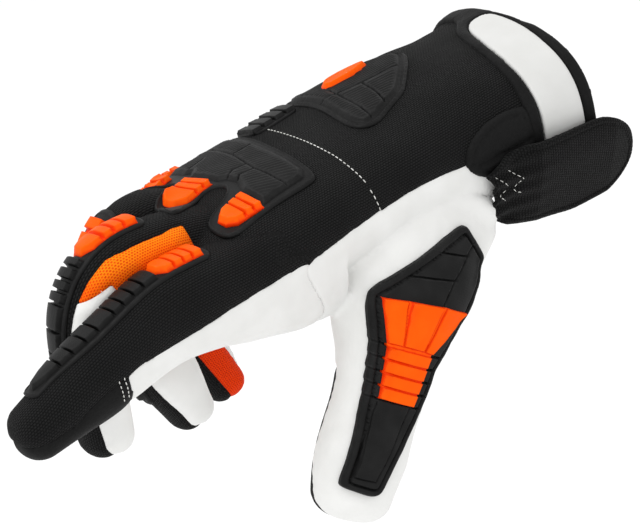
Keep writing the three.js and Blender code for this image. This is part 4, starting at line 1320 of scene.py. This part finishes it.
def knuckle_height(x, y, d):
    top = inside_distance(KNUCKLE_TOP, x, y)
    joint = to_line(x, y, *KNUCKLE_JOINTS)
    plate = lipped_plate(d)
    raised = 0.8 + 1.2 * rise(top, 1.8)
    raised += 0.25 * ribs(x, y, RIB_TURN, RIB_PITCH) * rise(top - 2.4, 0.6) * rise(joint - 0.9, 0.4)
    raised -= cut_depth(joint, 0.22, 0.28) * rise(top - 0.6, 0.8)
    return np.where(top > 0, np.maximum(raised, plate), plate)


outline = rounded(KNUCKLE_PLATE)
top_lines = [
    ring(KNUCKLE_TOP, "valley"), ring(moved_in(KNUCKLE_TOP, 1.8), "ridge"), ring(moved_in(KNUCKLE_TOP, 2.2)),
]
piece = moulded("knuckle_guard_rubber", outline, knuckle_height, on_back,
                rim_lines(outline) + top_lines + joint_lines(KNUCKLE_JOINTS), 0.8, RIB_TURN, RIB_PITCH / 4)
finish_piece(piece, BLACK_RUBBER, "black_rubber", "knuckle_guard")
print("Knuckle guard:", len(piece.data.polygons), "triangles")

# %% [markdown]
# ## Orange blocks on the knuckles
# Each knuckle has a cluster of three bars on a thin web. The bars get narrower towards the finger, and the last one
# ends in a point with a cut tip. Their sides slant by different amounts: steep at the joints between the bars, and
# flatter along the flanks. The Bevel modifier would slant all sides alike.

# %% Orange blocks on the knuckles
# For each cluster: X and Y of its middle edge nearest the wrist, its turn, its width, its bars and its taper.
CLUSTERS = [
    (-133.6, -23.6, 5, 12.6, (3, 3, 6.8), 0.75), (-136.6, 5.4, 16, 13.5, (3, 3, 9.5), 0.74),
    (-137.7, 28.9, 14, 10, (3, 3, 7), 0.65), (-125, 40, 0, 6, (3, 3, 6), 0.8),
]
JOINT = 0.55


def cluster_shapes(x, y, turn, width, bars, taper):
    """The outline of a row of bars that get narrower towards the finger, and the foot and top of each bar."""
    whole = sum(bars) + JOINT * (len(bars) - 1)
    c, s = math.cos(math.radians(turn)), math.sin(math.radians(turn))

    def place(along, across):
        return (x - along * c - across * s, y - along * s + across * c)

    def half(along):
        return width / 2 * (1 + (taper - 1) * along / whole)

    shapes, at = [], 0
    for k, bar in enumerate(bars):
        a, b = half(at), half(at + bar)
        if k < len(bars) - 1:
            foot = [place(at, -a), place(at, a), place(at + bar, b), place(at + bar, -b)]
            slants = (0.2, 1.1, 0.2, 1.1)
        else:
            mid, tip = at + bar * 0.55, b * 0.45
            foot = [place(at, -a), place(at, a), place(mid, half(mid)), place(at + bar, tip),
                    place(at + bar, -tip), place(mid, -half(mid))]
            slants = (0.2, 1.1, 1.3, 1.6, 1.3, 1.1)
        shapes.append((foot, slanted_top(foot, slants)))
        at += bar + JOINT
    web = [place(0, -half(0)), place(0, half(0))] + shapes[-1][0][2:6]
    return web, shapes


def orange_height(blocks, low=0.8, web=1.2, high=2.9):
    def height(x, y, d):
        return np.maximum(low + (web - low) * rise(d, 0.3), blocks_height(blocks, x, y, low, high))

    return height


for number, cluster in enumerate(CLUSTERS, start=1):
    web, blocks = cluster_shapes(*cluster)
    piece = moulded(f"knuckle_pad_{number}_rubber", web, orange_height(blocks), on_back, block_lines(blocks))
    finish_piece(piece, ORANGE_RUBBER, "orange_rubber", f"knuckle_pad_{number}")
print("Knuckle clusters:", len(CLUSTERS))

# %% [markdown]
# ## Strips along the fingers
# Each finger carries a narrow strip with a thin flange. Its blocks near the hand are orange and moulded separately,
# and the black blocks beyond them get narrower towards the tip. The joints between blocks let the finger curl.

# %% Finger strips
# For each strip: its width, how far it lies to the side, its start, where orange turns to black, its end, and where
# the joints between its orange and its black blocks are. All but the first two are distances along the finger.
STRIPS = {
    "index": (15.2, 2.5, 48, 65.3, 118.3, (51.8, 55.6, 59.2), (70.3, 74.2, 78.4, 82.6, 90.2, 95.4, 101, 106.6)),
    "middle": (15.4, 4.2, 31.6, 47.5, 91, (35.9, 38.9, 41.8), (49.8, 52.6, 55.2, 58, 64, 70.5, 77.5)),
    "ring": (12.5, 1, 28.5, 40.5, 86, (31.6, 34.6), (44, 48, 52, 57, 63, 70, 78)),
    "little": (12, 0, 20, 34, 78, (24, 29), (40, 44, 48, 55, 62, 70)),
}


def strip_half(width, end):
    """Half the width of the strip's blocks at a distance: full at first, narrower near the tip."""
    return lambda d: (width / 2 - 1.7) * (1 - 0.42 * smooth(np.asarray(d, float), end - 26, end))


def block_between(half, a, b, pointed=False):
    """The foot and the top of a block between two distances, less half a joint at each end."""
    a, b = a + JOINT / 2, b - JOINT / 2
    if pointed:
        mid = a + (b - a) * 0.5
        foot = [(-half(a), a), (half(a), a), (half(mid), mid), (half(b) * 0.5, b), (-half(b) * 0.5, b),
                (-half(mid), mid)]
        return foot, slanted_top(foot, (0.2, 0.9, 1.1, 1.4, 1.1, 0.9))
    foot = [(-half(a), a), (half(a), a), (half(b), b), (-half(b), b)]
    return foot, slanted_top(foot, (0.2, 0.9, 0.2, 0.9))


def strip_outline(half, start, end, more):
    """The outline of a strip whose flange stands out by an amount on both sides."""
    steps = np.linspace(start, end, 12)
    right = [(half(d) + more, d) for d in steps]
    return [(-u, d) for u, d in right[::-1]] + right


for finger, (width, aside, start, change, end, orange, black) in STRIPS.items():
    half = strip_half(width, end)
    edges = [change, *black, end]
    blocks = [block_between(half, a, b, pointed=b == end) for a, b in zip(edges[:-1], edges[1:])]

    def strip_height(x, y, d, blocks=blocks):
        return np.maximum(lipped_plate(d), blocks_height(blocks, x, y, 0.8, 2.4))

    outline = rounded(strip_outline(half, start - 2.2, end + 2, 1.6), 2)
    place = on_finger(finger, aside)
    piece = moulded(finger + "_guard_rubber", outline, strip_height, place, rim_lines(outline) + block_lines(blocks))
    finish_piece(piece, BLACK_RUBBER, "black_rubber", finger + "_guard")
    edges = [start, *orange, change]
    blocks = [block_between(half, a, b, pointed=b == change) for a, b in zip(edges[:-1], edges[1:])]
    web = [*blocks[0][0][:2], *blocks[-1][0][2:]]
    piece = moulded(finger + "_pad_rubber", web, orange_height(blocks), place, block_lines(blocks))
    finish_piece(piece, ORANGE_RUBBER, "orange_rubber", finger + "_pad")
    print(finger, "strip has", len(black) + 1, "black and", len(orange) + 1, "orange blocks")

# %% [markdown]
# ## The guard on the wrist
# The wrist plate rises to a low ridge like a roof, and grooves divide its near side into three ribbed faces. A raised
# orange block lies on the far side of the ridge. The ribs are real geometry here, because they catch the light at
# their own angle. The much finer hatch on the other guards is only a bump in the material.

# %% Wrist guard
WRIST_PLATE = [
    (-82, 31), (-81.5, 9), (-83.3, -4), (-83.8, -13.5), (-81, -18.4), (-76, -19.2), (-58.4, -12), (-45, 2.8),
    (-40.5, 9.7), (-40.5, 16), (-46, 22), (-60, 34), (-77, 37), (-81, 35),
]
WRIST_RIDGE = [(-79.5, 11), (-73.8, 7.8), (-64, 5.6), (-50, 3.3)]
WRIST_JOINTS = [[(-72.9, 13.2), (-73.8, 7.8), (-74.6, -6), (-76, -15.5)], [(-64, 5.6), (-65, -4), (-67.2, -12)]]
WRIST_RIB_TURN, WRIST_RIB_PITCH = -11, 1.6


def wrist_height(x, y, d):
    ridge = to_line(x, y, WRIST_RIDGE)
    joint = to_line(x, y, *WRIST_JOINTS, WRIST_RIDGE)
    plate = lipped_plate(d, 0.8, 0.6, 1.0, 0.4)
    raised = 2.2 * rise(d - 2.0, 1.6) + 0.6 * cut_depth(ridge, 0, 14) * rise(d - 3.4, 2)
    ribbed = rise(d - 4.2, 0.4) * rise(joint - 1.0, 0.3)
    raised += 0.32 * ribs(x, y, WRIST_RIB_TURN, WRIST_RIB_PITCH) * ribbed
    raised -= 1.2 * cut_depth(joint, 0.22, 0.28) * rise(d - 2.5, 0.8)
    return np.maximum(plate, raised)


outline = rounded(WRIST_PLATE)
rim = [ring(moved_in(outline, 0.35)), ring(moved_in(outline, 1.0), "ridge"), ring(moved_in(outline, 1.4)),
       ring(moved_in(outline, 2.0), "valley"), ring(moved_in(outline, 3.6), "ridge"), ring(moved_in(outline, 3.9))]
piece = moulded("wrist_guard_rubber", outline, wrist_height, on_back,
                rim + joint_lines([*WRIST_JOINTS, WRIST_RIDGE]), 0.7, WRIST_RIB_TURN, WRIST_RIB_PITCH / 4)
finish_piece(piece, BLACK_RUBBER, "black_rubber", "wrist_guard")

EMBLEM = rounded([(-73, 16), (-71.5, 22.5), (-62, 24), (-53, 20.5), (-52.5, 17.2), (-60, 14.8), (-67, 14.8)])
emblem_blocks = [(EMBLEM, moved_in(EMBLEM, 1.3))]


def emblem_height(x, y, d):
    return blocks_height(emblem_blocks, x, y, 2.2, 4.2)


piece = moulded("wrist_emblem_rubber", EMBLEM, emblem_height, on_back, block_lines(emblem_blocks), low=1.2)
finish_piece(piece, ORANGE_RUBBER, "orange_rubber", "wrist_emblem")
print("Wrist guard: a plate with", len(WRIST_JOINTS), "joints, and its orange block")

# %% [markdown]
# ## The stepped bridge
# A short plate of four steps closes the gap between the wrist and the knuckles, so that the hand can bend between two
# stiff guards. It is a row of equal blocks, so a loop makes them, as the Array modifier would.

# %% Bridge guard
BRIDGE_FROM, BRIDGE_TO, BRIDGE_Y, BRIDGE_WIDTH, BRIDGE_BLOCKS = -103.5, -84, 26, 16, 4
step = (BRIDGE_TO - BRIDGE_FROM) / BRIDGE_BLOCKS


def rectangle(x0, x1, y, width):
    """The corners of a rectangle from X to X, round a middle Y."""
    return [(x0, y - width / 2), (x1, y - width / 2), (x1, y + width / 2), (x0, y + width / 2)]


def stepped(foot):
    """A block with slanted ends and steep sides."""
    return foot, slanted_top(foot, (1.2, 0.3, 1.2, 0.3))


bridge_blocks = [
    stepped(rectangle(BRIDGE_FROM + k * step + 0.4, BRIDGE_FROM + (k + 1) * step - 0.4, BRIDGE_Y, BRIDGE_WIDTH - 2.5))
    for k in range(BRIDGE_BLOCKS)]


def bridge_height(x, y, d):
    plate = 0.8 * rise(d + 0.25, 0.6)
    return np.maximum(plate, blocks_height(bridge_blocks, x, y, 0.8, 2.2))


outline = rounded(rectangle(BRIDGE_FROM, BRIDGE_TO, BRIDGE_Y, BRIDGE_WIDTH))
piece = moulded("bridge_guard_rubber", outline, bridge_height, on_back,
                [ring(moved_in(outline, 0.45)), *block_lines(bridge_blocks)])
finish_piece(piece, BLACK_RUBBER, "black_rubber", "bridge_guard")
print("Bridge guard:", BRIDGE_BLOCKS, "steps")

# %% [markdown]
# ## The guard over the thumb
# A long plate covers the outside of the thumb. It has a thick rounded rim, a fan of three orange blocks with four
# short bars below it, and the outline of a long panel engraved towards the tip. The rim's section is half an ellipse.
# A curve with a round bevel would give the same rim, but then it would be a second piece.

# %% Thumb guard
THUMB_PLATE = [
    (-66, -18.8), (-61.9, -32.3), (-62.4, -34.1), (-76.8, -48.2), (-81, -50.4), (-98.8, -57.2), (-102.3, -60.6),
    (-113.2, -69), (-126.1, -77.6), (-134.9, -85.3), (-138.3, -85), (-146.6, -78.2), (-146, -76), (-140.2, -69.2),
    (-124.9, -50.5), (-117.3, -39.7), (-114.8, -34.5), (-110.6, -25.8), (-109.3, -24.2), (-102.4, -22.9), (-88, -20.8),
]
THUMB_JOINTS = [
    [(-81.2, -21.5), (-70.5, -28.3)], [(-95.6, -23.7), (-79.6, -32.5)],
    [(-64.5, -25.5), (-71, -28.2), (-80.2, -32.3), (-88, -38.3)],
]
THUMB_INSET = [(-123.9, -55.1), (-114.2, -62.2), (-136, -80.1), (-142.1, -75.9)]
THUMB_FAN = [
    [(-107.3, -26.7), (-99.9, -30.6), (-108.9, -42.5), (-112.9, -39.9)],
    [(-99.1, -31.1), (-87.9, -38.2), (-102.3, -47.4), (-108.3, -43)],
    [(-86.8, -39), (-78.6, -45.6), (-99.2, -50.3), (-101.7, -48)],
]
BAR_LEFT = ((-113.3, -40.8), (-124, -55.3))
BAR_RIGHT = ((-99.9, -50.9), (-113.6, -63.2))
BARS, BAR_SHARE = 4, 0.9


def bar_corner(line, step):
    return tuple(a + (b - a) * step / BARS for a, b in zip(*line))


THUMB_BARS = [
    [bar_corner(BAR_LEFT, k), bar_corner(BAR_RIGHT, k), bar_corner(BAR_RIGHT, k + BAR_SHARE),
     bar_corner(BAR_LEFT, k + BAR_SHARE)]
    for k in range(BARS)
]
# Short cuts in the black field on both sides of the bars.
NOTCHES = []
for k in range(BARS + 1):
    for line, other in ((BAR_LEFT, BAR_RIGHT), (BAR_RIGHT, BAR_LEFT)):
        inner, far = np.array(bar_corner(line, k - 0.05)), np.array(bar_corner(other, k - 0.05))
        NOTCHES.append([inner, inner + unit(inner - far) * 4.5])


def thumb_height(x, z, d):
    joint = to_line(x, z, *THUMB_JOINTS)
    inset = np.abs(inside_distance(THUMB_INSET, x, z))
    notch = to_line(x, z, *NOTCHES)
    rim = 2.5 * np.sqrt(np.clip(1 - ((d - 1.2) / 1.35) ** 2, 0, 1))
    field = 2.4 * rise(d - 2.6, 0.4)
    field -= cut_depth(joint, 0.2, 0.25) * rise(d - 2.7, 0.5)
    field -= 0.7 * cut_depth(inset, 0.12, 0.2)
    field -= 1.3 * cut_depth(notch, 0.3, 0.25) * rise(d - 2.2, 0.5)
    return np.maximum(np.maximum(rim, field), 0.8 * rise(d + 0.25, 0.5))


outline = rounded(THUMB_PLATE, longest=1.2)
rim = [ring(moved_in(outline, at)) for at in (0.2, 0.55, 1.2, 1.85, 2.4, 2.6, 3.0, 3.3)]
inset_lines = [ring(moved_in(THUMB_INSET, at)) for at in (-0.32, -0.12, 0.12, 0.32)]
piece = moulded("thumb_guard_rubber", outline, thumb_height, on_thumb,
                rim + inset_lines + joint_lines(THUMB_JOINTS, 0.2, 0.45) + joint_lines(NOTCHES, 0.3, 0.55), 0.7)
finish_piece(piece, BLACK_RUBBER, "black_rubber", "thumb_guard")

thumb_web = [
    THUMB_FAN[0][0], THUMB_FAN[1][0], THUMB_FAN[2][0], THUMB_FAN[2][1], THUMB_FAN[2][2], bar_corner(BAR_RIGHT, 0),
    bar_corner(BAR_RIGHT, BARS - 1 + BAR_SHARE), bar_corner(BAR_LEFT, BARS - 1 + BAR_SHARE),
    bar_corner(BAR_LEFT, 0), THUMB_FAN[0][3],
]
thumb_blocks = [(np.array(foot), moved_in(foot, 0.25)) for foot in THUMB_FAN + THUMB_BARS]
piece = moulded("thumb_pad_rubber", thumb_web, orange_height(thumb_blocks, 2.0, 2.6, 3.2), on_thumb,
                block_lines(thumb_blocks))
finish_piece(piece, ORANGE_RUBBER, "orange_rubber", "thumb_pad")
print("Thumb guard:", len(THUMB_FAN), "blocks in the fan and", BARS, "bars")

# %% [markdown]
# ## Padded layers on the skin
# A strap or a patch follows the skin everywhere, so it is cut from a copy of the skin and lifted along the normals.
# Its height rounds off at its edges, as padding does under a seam. A flat strip with the Shrinkwrap modifier would do
# for a plain cuff, but its mesh would not match the skin below it.

# %% Layers on the skin


def layer_on_skin(name, field, height, low=-0.5, even=12):
    """Cut the skin where a field is positive and lift it by a height that depends on the distance to the edge."""
    points, faces, _, [uv] = split_mesh(skin, all_faces, field(skin), [cloth_uv])
    points, faces, [uv] = used_only(points, faces, [uv])
    points = relax(points, edges_of(faces), even)
    normals = relax(vertex_normals(points, faces), edges_of(faces), 4, taubin=False)
    lifted = height(points, field(points))
    vertices, closed = close_sheet(points + normals * lifted[:, None], points + normals * low, faces)
    return new_mesh(name, vertices, closed, uv=np.tile(uv, (2, 1)))


def round_edge(distance, width):
    """0 at an edge and 1 from a width inside it, along a quarter circle."""
    t = 1 - np.clip(distance / width, 0, 1)
    return np.sqrt(np.maximum(1 - t * t, 0))


print("Layers are ready")

# %% [markdown]
# ## The cuff's strap, its pale inset and the patch
# The strap goes round the cuff, and a pale inset is let into a window of it. The black patch next to it carries the
# pull tab. Each outline is given from above or from the side, and a limit on the third axis keeps the inset and the
# patch to their own side of the wrist.

# %% Strap, inset and patch
BAND = rounded([
    (-9, 60), (-9.5, 38), (-10.5, 27), (-11.5, 18), (-20.2, 6.7), (-25, -9), (-28.3, -26.5), (-29.2, -35.7),
    (-30.2, -40), (-31, -60), (4, -60), (4, 60),
], 1)
INSET = rounded([
    (-8, 8.5), (-5, 6.5), (-4.5, 0), (-5.3, -11), (-7.4, -28), (-8, -60), (-25, -60), (-25, -38), (-24.6, -28),
    (-22.5, -14), (-18.5, 0), (-15.5, 5.5), (-12, 8.5),
], 2)
WRIST_PATCH = rounded([
    (-29, 9.5), (-33.3, 10.3), (-39.9, 10.5), (-48.4, 8.9), (-55.5, 5.3), (-57.8, 1.6), (-57.8, -1.9),
    (-55.2, -5.9), (-51, -8.6), (-46, -10.5), (-29, -11),
], 2)


def inset_field(points):
    return np.minimum(inside_distance(INSET, points[:, 0], points[:, 1]), points[:, 2] + 7)


def band_field(points):
    return np.minimum(inside_distance(BAND, points[:, 0], points[:, 1]), -0.15 - inset_field(points))


def patch_field(points):
    return np.where(points[:, 1] < -15, inside_distance(WRIST_PATCH, points[:, 0], points[:, 2]), -10.0)


def band_height(points, inside):
    rim = round_edge(-2.6 - points[:, 0], 2.6)
    edge_stitch = lip(inside, 1.9, 0.45)
    return 1.7 * round_edge(inside, 1.5) * (0.35 + 0.65 * rim) - 0.25 * edge_stitch + 0.1 * swell(points, 9, 21)


def inset_height(points, inside):
    return 1.7 * round_edge(inside + 0.1, 1.0) + 0.06 * swell(points, 12, 8)


def patch_height(points, inside):
    fold = line_distance(points[:, [0, 2]], [(-53, -2.9), (-47, -2.9), (-41, -2.2), (-31, -1.8)])
    pad = 1.5 * round_edge(inside, 1.6) + 0.5 * smooth(inside, 2, 6)
    return pad - 0.45 * lip(inside, 2.4, 0.4) - 1.1 * lip(fold, 0, 0.8)


piece = layer_on_skin("cuff_band_cloth", band_field, band_height)
finish_piece(piece, BLACK_CLOTH, "black_neoprene", "cuff_band")
piece = layer_on_skin("cuff_inset_cloth", inset_field, inset_height)
finish_piece(piece, WHITE_BINDING, "white_binding", "cuff_inset")
piece = layer_on_skin("wrist_patch_cloth", patch_field, patch_height)
finish_piece(piece, BLACK_CLOTH, "black_leather", "wrist_patch")
print("Layers on the cuff: strap, inset and patch")

# %% [markdown]
# ## The pull tab
# The tab is a stiff, slightly curved flap of knit with a bound edge, and it is gathered where it is sewn on. It is
# the same kind of piece as the guards, a flat outline with a height, laid on a curved surface of its own. A cloth
# simulation would let it hang, but the real one is padded and stands out by itself.

# %% Pull tab
TAB = rounded([
    (-36.5, -1), (-30.5, -2.1), (-17.8, -3.1), (-6.2, -3.6), (-0.2, -5.3), (6.8, -10.5), (11.8, -17.8), (14, -25.1),
    (13.7, -31.8), (9.4, -36.9), (2.5, -39.5), (-14.6, -39.4), (-25.6, -36.6), (-35.3, -34.9), (-41, -33.5),
    (-47.3, -29.5), (-50, -25.6), (-51, -21.5), (-49.8, -15.4), (-51, -9.5), (-53.5, -6.8), (-44.7, -3),
], 2)
TAB_FACE = smooth_line([
    (-48.7, 0, 0), (-48.5, -6, 0), (-46.8, -14, 0), (-44, -21, 0), (-40.5, -29, 0), (-37, -36, 0), (-33, -44, 0)])
# How far the tab lies further inwards, towards +Y, at a given X.
TAB_INWARDS = [(-55, 4.3), (-42, 4.1), (-32, 0.5), (2, 0.5), (15, 4)]


def on_tab(x, z, faces):
    y = np.interp(-z, -TAB_FACE[:, 1], TAB_FACE[:, 0])
    y = y + np.interp(x, *zip(*TAB_INWARDS))
    root = np.exp(-(((x + 50) / 15) ** 2))
    y = y + 0.9 * root * np.sin(z * 2 * np.pi / 6.5 + 0.06 * x) + 0.5 * swell(np.stack([x, 0 * x, z], 1), 34, 12)
    base = relax(np.stack([x, y, z], 1), edges_of(faces), 16)
    return base, np.tile([0.0, -1.0, 0.0], (len(x), 1))


def tab_height(x, z, d):
    return 0.35 + 0.45 * lip(d, 1.1, 0.8) - 0.3 * lip(d, 2.4, 0.35) + 0.08 * ribs(x, z, 20, 1.4) * rise(d - 3, 1)


rim = [ring(moved_in(TAB, at)) for at in (0.4, 1.1, 2.0, 2.4, 2.8)]
piece = moulded("pull_tab_cloth", TAB, tab_height, on_tab, rim, low=-1.3)
finish_piece(piece, TAB_KNIT, "black_knit", "pull_tab")

# %% [markdown]
# ## Stitches with Geometry Nodes
# A row of stitches is one small shape repeated at an even distance along a path, which is just what Curve to Points
# and Instance on Points do. The node tree has the pitch and the stitch's size as named inputs, and each finished row
# is baked to a plain mesh.

# %% Stitch generator


def stitch_tree():
    tree = bpy.data.node_groups.new("Stitch row", "GeometryNodeTree")
    sockets = {}
    for key, kind, value in (("Geometry", "NodeSocketGeometry", None), ("Pitch", "NodeSocketFloat", 0.0022),
                             ("Length", "NodeSocketFloat", 0.0015), ("Thickness", "NodeSocketFloat", 0.0003),
                             ("Material", "NodeSocketMaterial", None)):
        sockets[key] = tree.interface.new_socket(name=key, in_out="INPUT", socket_type=kind)
        if value is not None:
            sockets[key].default_value = value
    tree.interface.new_socket(name="Geometry", in_out="OUTPUT", socket_type="NodeSocketGeometry")
    graph = Graph(tree)
    source = graph.add("NodeGroupInput").outputs
    dots = graph.add("GeometryNodeCurveToPoints", {"Curve": source["Geometry"], "Length": source["Pitch"]},
                     mode="LENGTH")
    bead = graph.add("GeometryNodeMeshUVSphere", {"Segments": 10, "Rings": 8, "Radius": 1.0})
    half = graph.math("MULTIPLY", source["Length"], 0.5)
    size = graph.add("ShaderNodeCombineXYZ", {0: source["Thickness"], 1: source["Thickness"], 2: half})
    rows = graph.add("GeometryNodeInstanceOnPoints", {
        "Points": dots.outputs["Points"], "Instance": bead.outputs["Mesh"], "Rotation": dots.outputs["Rotation"],
        "Scale": size.outputs[0]})
    real = graph.add("GeometryNodeRealizeInstances", {"Geometry": rows.outputs["Instances"]})
    even = graph.add("GeometryNodeSetShadeSmooth", {"Geometry": real.outputs["Geometry"]})
    painted = graph.add("GeometryNodeSetMaterial", {
        "Geometry": even.outputs["Geometry"], "Material": source["Material"]})
    sink = graph.add("NodeGroupOutput")
    tree.links.new(painted.outputs["Geometry"], sink.inputs["Geometry"])
    return tree, {key: socket.identifier for key, socket in sockets.items()}


STITCH, STITCH_INPUT = stitch_tree()


def stitch_rows(name, paths, material, pitch=2.3, length=1.6, thickness=0.22, slot="white_leather"):
    """Rows of stitches along lines of points in millimetres, as one baked mesh."""
    curve = bpy.data.curves.new(name + " path", "CURVE")
    curve.dimensions = "3D"
    for path in paths:
        line = curve.splines.new("POLY")
        line.points.add(len(path) - 1)
        line.points.foreach_set("co", np.hstack([np.array(path) * MM, np.ones((len(path), 1))]).ravel())
    holder = bpy.data.objects.new(name + " path", curve)
    scene.collection.objects.link(holder)
    nodes = holder.modifiers.new("stitches", "NODES")
    nodes.node_group = STITCH
    for key, value in (("Pitch", pitch * MM), ("Length", length * MM), ("Thickness", thickness * MM),
                       ("Material", material)):
        nodes[STITCH_INPUT[key]] = value
    bpy.context.view_layer.update()
    baked = bpy.data.meshes.new_from_object(holder.evaluated_get(bpy.context.evaluated_depsgraph_get()))
    bpy.data.objects.remove(holder)
    piece = bpy.data.objects.new(name, baked)
    scene.collection.objects.link(piece)
    print(name, len(baked.polygons), "faces")
    return finish_piece(piece, material, slot)


def even_steps(corners, step):
    """Pairs of coordinates at an even distance along a flat line with given corners."""
    corners = np.array(corners, float)
    lengths = np.concatenate([[0], np.cumsum(np.linalg.norm(np.diff(corners, axis=0), axis=1))])
    at = np.arange(0, lengths[-1], step)
    return list(zip(*(np.interp(at, lengths, corners[:, k]) for k in range(2))))


def skin_path(corners, axis, height=0.15, step=0.6):
    """A line over the skin: its corners are X and Y seen from above, or X and Z seen from the thumb's side."""
    points = []
    for u, v in even_steps(corners, step):
        start, way = ((u, v, ABOVE), (0, 0, -1)) if axis == "top" else ((u, BESIDE, v), (0, 1, 0))
        hit, normal = skin_tree.ray_cast(Vector(start), Vector(way))[:2]
        if hit is not None:
            points.append(hit + normal * height)
    return np.array(points)


print("Stitch inputs:", list(STITCH_INPUT))

# %% [markdown]
# ## Sewing the rows
# A pale seam crosses the back of the hand, two short rows hold the patch on the index tip, and a few rows hold the
# tab. Each row is drawn as corners in a plain view and then cast onto the piece that it goes through. The Snap tool
# does this for single points.

# %% Sew the rows
back_seam = [(-98.5, 17), (-98.5, 0), (-98.3, -18), (-97.8, -30), (-97.2, -37)]
side_seam = [(-97.2, 7), (-96.8, 3), (-96.2, 0)]
stitch_rows("back_seam_stitches", [skin_path(back_seam, "top"), skin_path(side_seam, "side")], WHITE_THREAD,
            2.0, 1.5, 0.2)
patch_rows = [[(-206.6, -9.5), (-206.6, -16.5)], [(-208.8, -9.8), (-208.8, -16.8)]]
stitch_rows("patch_stitches", [skin_path(row, "side", 0.2) for row in patch_rows], WHITE_THREAD, 1.6, 1.1, 0.2)
box_rows = [
    [(-43.7, -8.3), (-39.2, -13), (-42.4, -16.6), (-41.4, -18), (-40.1, -18.6)], [(-49.2, -8.8), (-45.2, -13.5)],
    [(-46.3, -15.8), (-48.8, -16.5), (-46.2, -19.5)],
]
tab_tree = BVHTree.FromObject(bpy.data.objects["pull_tab_cloth"], bpy.context.evaluated_depsgraph_get())
INWARDS = Vector((0, 1, 0))
box_paths = []
for row in box_rows:
    path = []
    for x, z in even_steps(row, 0.5):
        outside = Vector((x, BESIDE, z))
        hit = tab_tree.ray_cast(outside * MM, INWARDS)[0]
        if hit is None:
            hit = skin_tree.ray_cast(outside, INWARDS)[0] * MM
        path.append(np.array(hit) / MM + np.array([0, -0.12, 0]))
    box_paths.append(np.array(path))
stitch_rows("tab_stitches", box_paths, WHITE_THREAD, 1.9, 1.4, 0.15)

# %% [markdown]
# ## Stage and light
# The glove floats well above a pale ground in soft light. One large key light from above gives the rubber blocks their
# bright tops, and a weaker fill keeps the folds of the black knit readable.

# %% Floor and lights
FLOOR_HALF, FLOOR_HEIGHT = 4, -0.5
floor_mesh = bpy.data.meshes.new("floor")
floor_corners = [(x * FLOOR_HALF, y * FLOOR_HALF, FLOOR_HEIGHT) for x, y in ((-1, -1), (1, -1), (1, 1), (-1, 1))]
floor_mesh.from_pydata(floor_corners, [], [(0, 1, 2, 3)])
floor = bpy.data.objects.new("floor", floor_mesh)
scene.collection.objects.link(floor)
floor_material, graph, shader = new_material("pale floor", Roughness=0.9, Specular_IOR_Level=0.1)
cloud = graph.add("ShaderNodeTexNoise", {"Vector": place_vector(graph), "Scale": 3.0, "Detail": 2.0})
floor_tone = graph.blend(cloud.outputs["Fac"], colour("#ffffff"), colour("#fbfbfb"))
graph.tree.links.new(floor_tone, shader.inputs["Base Color"])
floor.data.materials.append(floor_material)

world = bpy.data.worlds.new("studio")
world.use_nodes = True
world.node_tree.nodes["Background"].inputs["Color"].default_value = (1, 1, 1, 1)
world.node_tree.nodes["Background"].inputs["Strength"].default_value = 1.0
scene.world = world


def area_light(name, place, target, size, power):
    light = bpy.data.lights.new(name, "AREA")
    light.shape = "SQUARE"
    light.size = size
    light.energy = power
    lamp = bpy.data.objects.new(name, light)
    lamp.location = place
    lamp.rotation_euler = (Vector(target) - Vector(place)).to_track_quat("-Z", "Y").to_euler()
    scene.collection.objects.link(lamp)
    return lamp


area_light("key light", (-0.45, 0.1, 1.0), (-0.12, 0, 0), 0.6, 4.0)
area_light("fill light", (-1.1, -1.0, 0.5), (-0.12, 0, -0.03), 0.9, 1.5)
print("Lights:", len(bpy.data.lights))

# %% [markdown]
# ## The camera
# A long lens from about a metre away keeps the fingers in proportion, as product pictures do. The camera's place and
# its three axes come from fitting known points of the glove to the picture, so they are given as numbers. By hand you
# would lock the camera to the view and move it until the outlines agree.

# %% Camera
# The camera's place, and the directions of its right, its top and its back.
EYE = Vector((-0.56638, -0.83582, 0.43661))
RIGHT = Vector((0.797147, -0.564212, -0.214992))
UP = Vector((0.416764, 0.256525, 0.872068))
BACK = Vector((-0.436881, -0.784767, 0.439631))
camera = bpy.data.objects.new("camera", bpy.data.cameras.new("camera"))
camera.data.sensor_width = 36
camera.data.lens = 169.7
turn = Matrix((RIGHT, UP, BACK)).transposed().to_4x4()
camera.matrix_world = Matrix.Translation(EYE) @ turn
scene.collection.objects.link(camera)
scene.camera = camera
scene.view_settings.view_transform = "Standard"
scene.view_settings.look = "None"
print("Camera is", round(EYE.length, 2), "m from the rim of the cuff, with a lens of", round(camera.data.lens), "mm")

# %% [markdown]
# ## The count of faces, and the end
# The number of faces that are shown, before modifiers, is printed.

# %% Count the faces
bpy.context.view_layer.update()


total = sum(len(o.data.polygons) for o in scene.objects if o.type == "MESH" and not o.hide_render)
print("Shown faces before modifiers:", total)
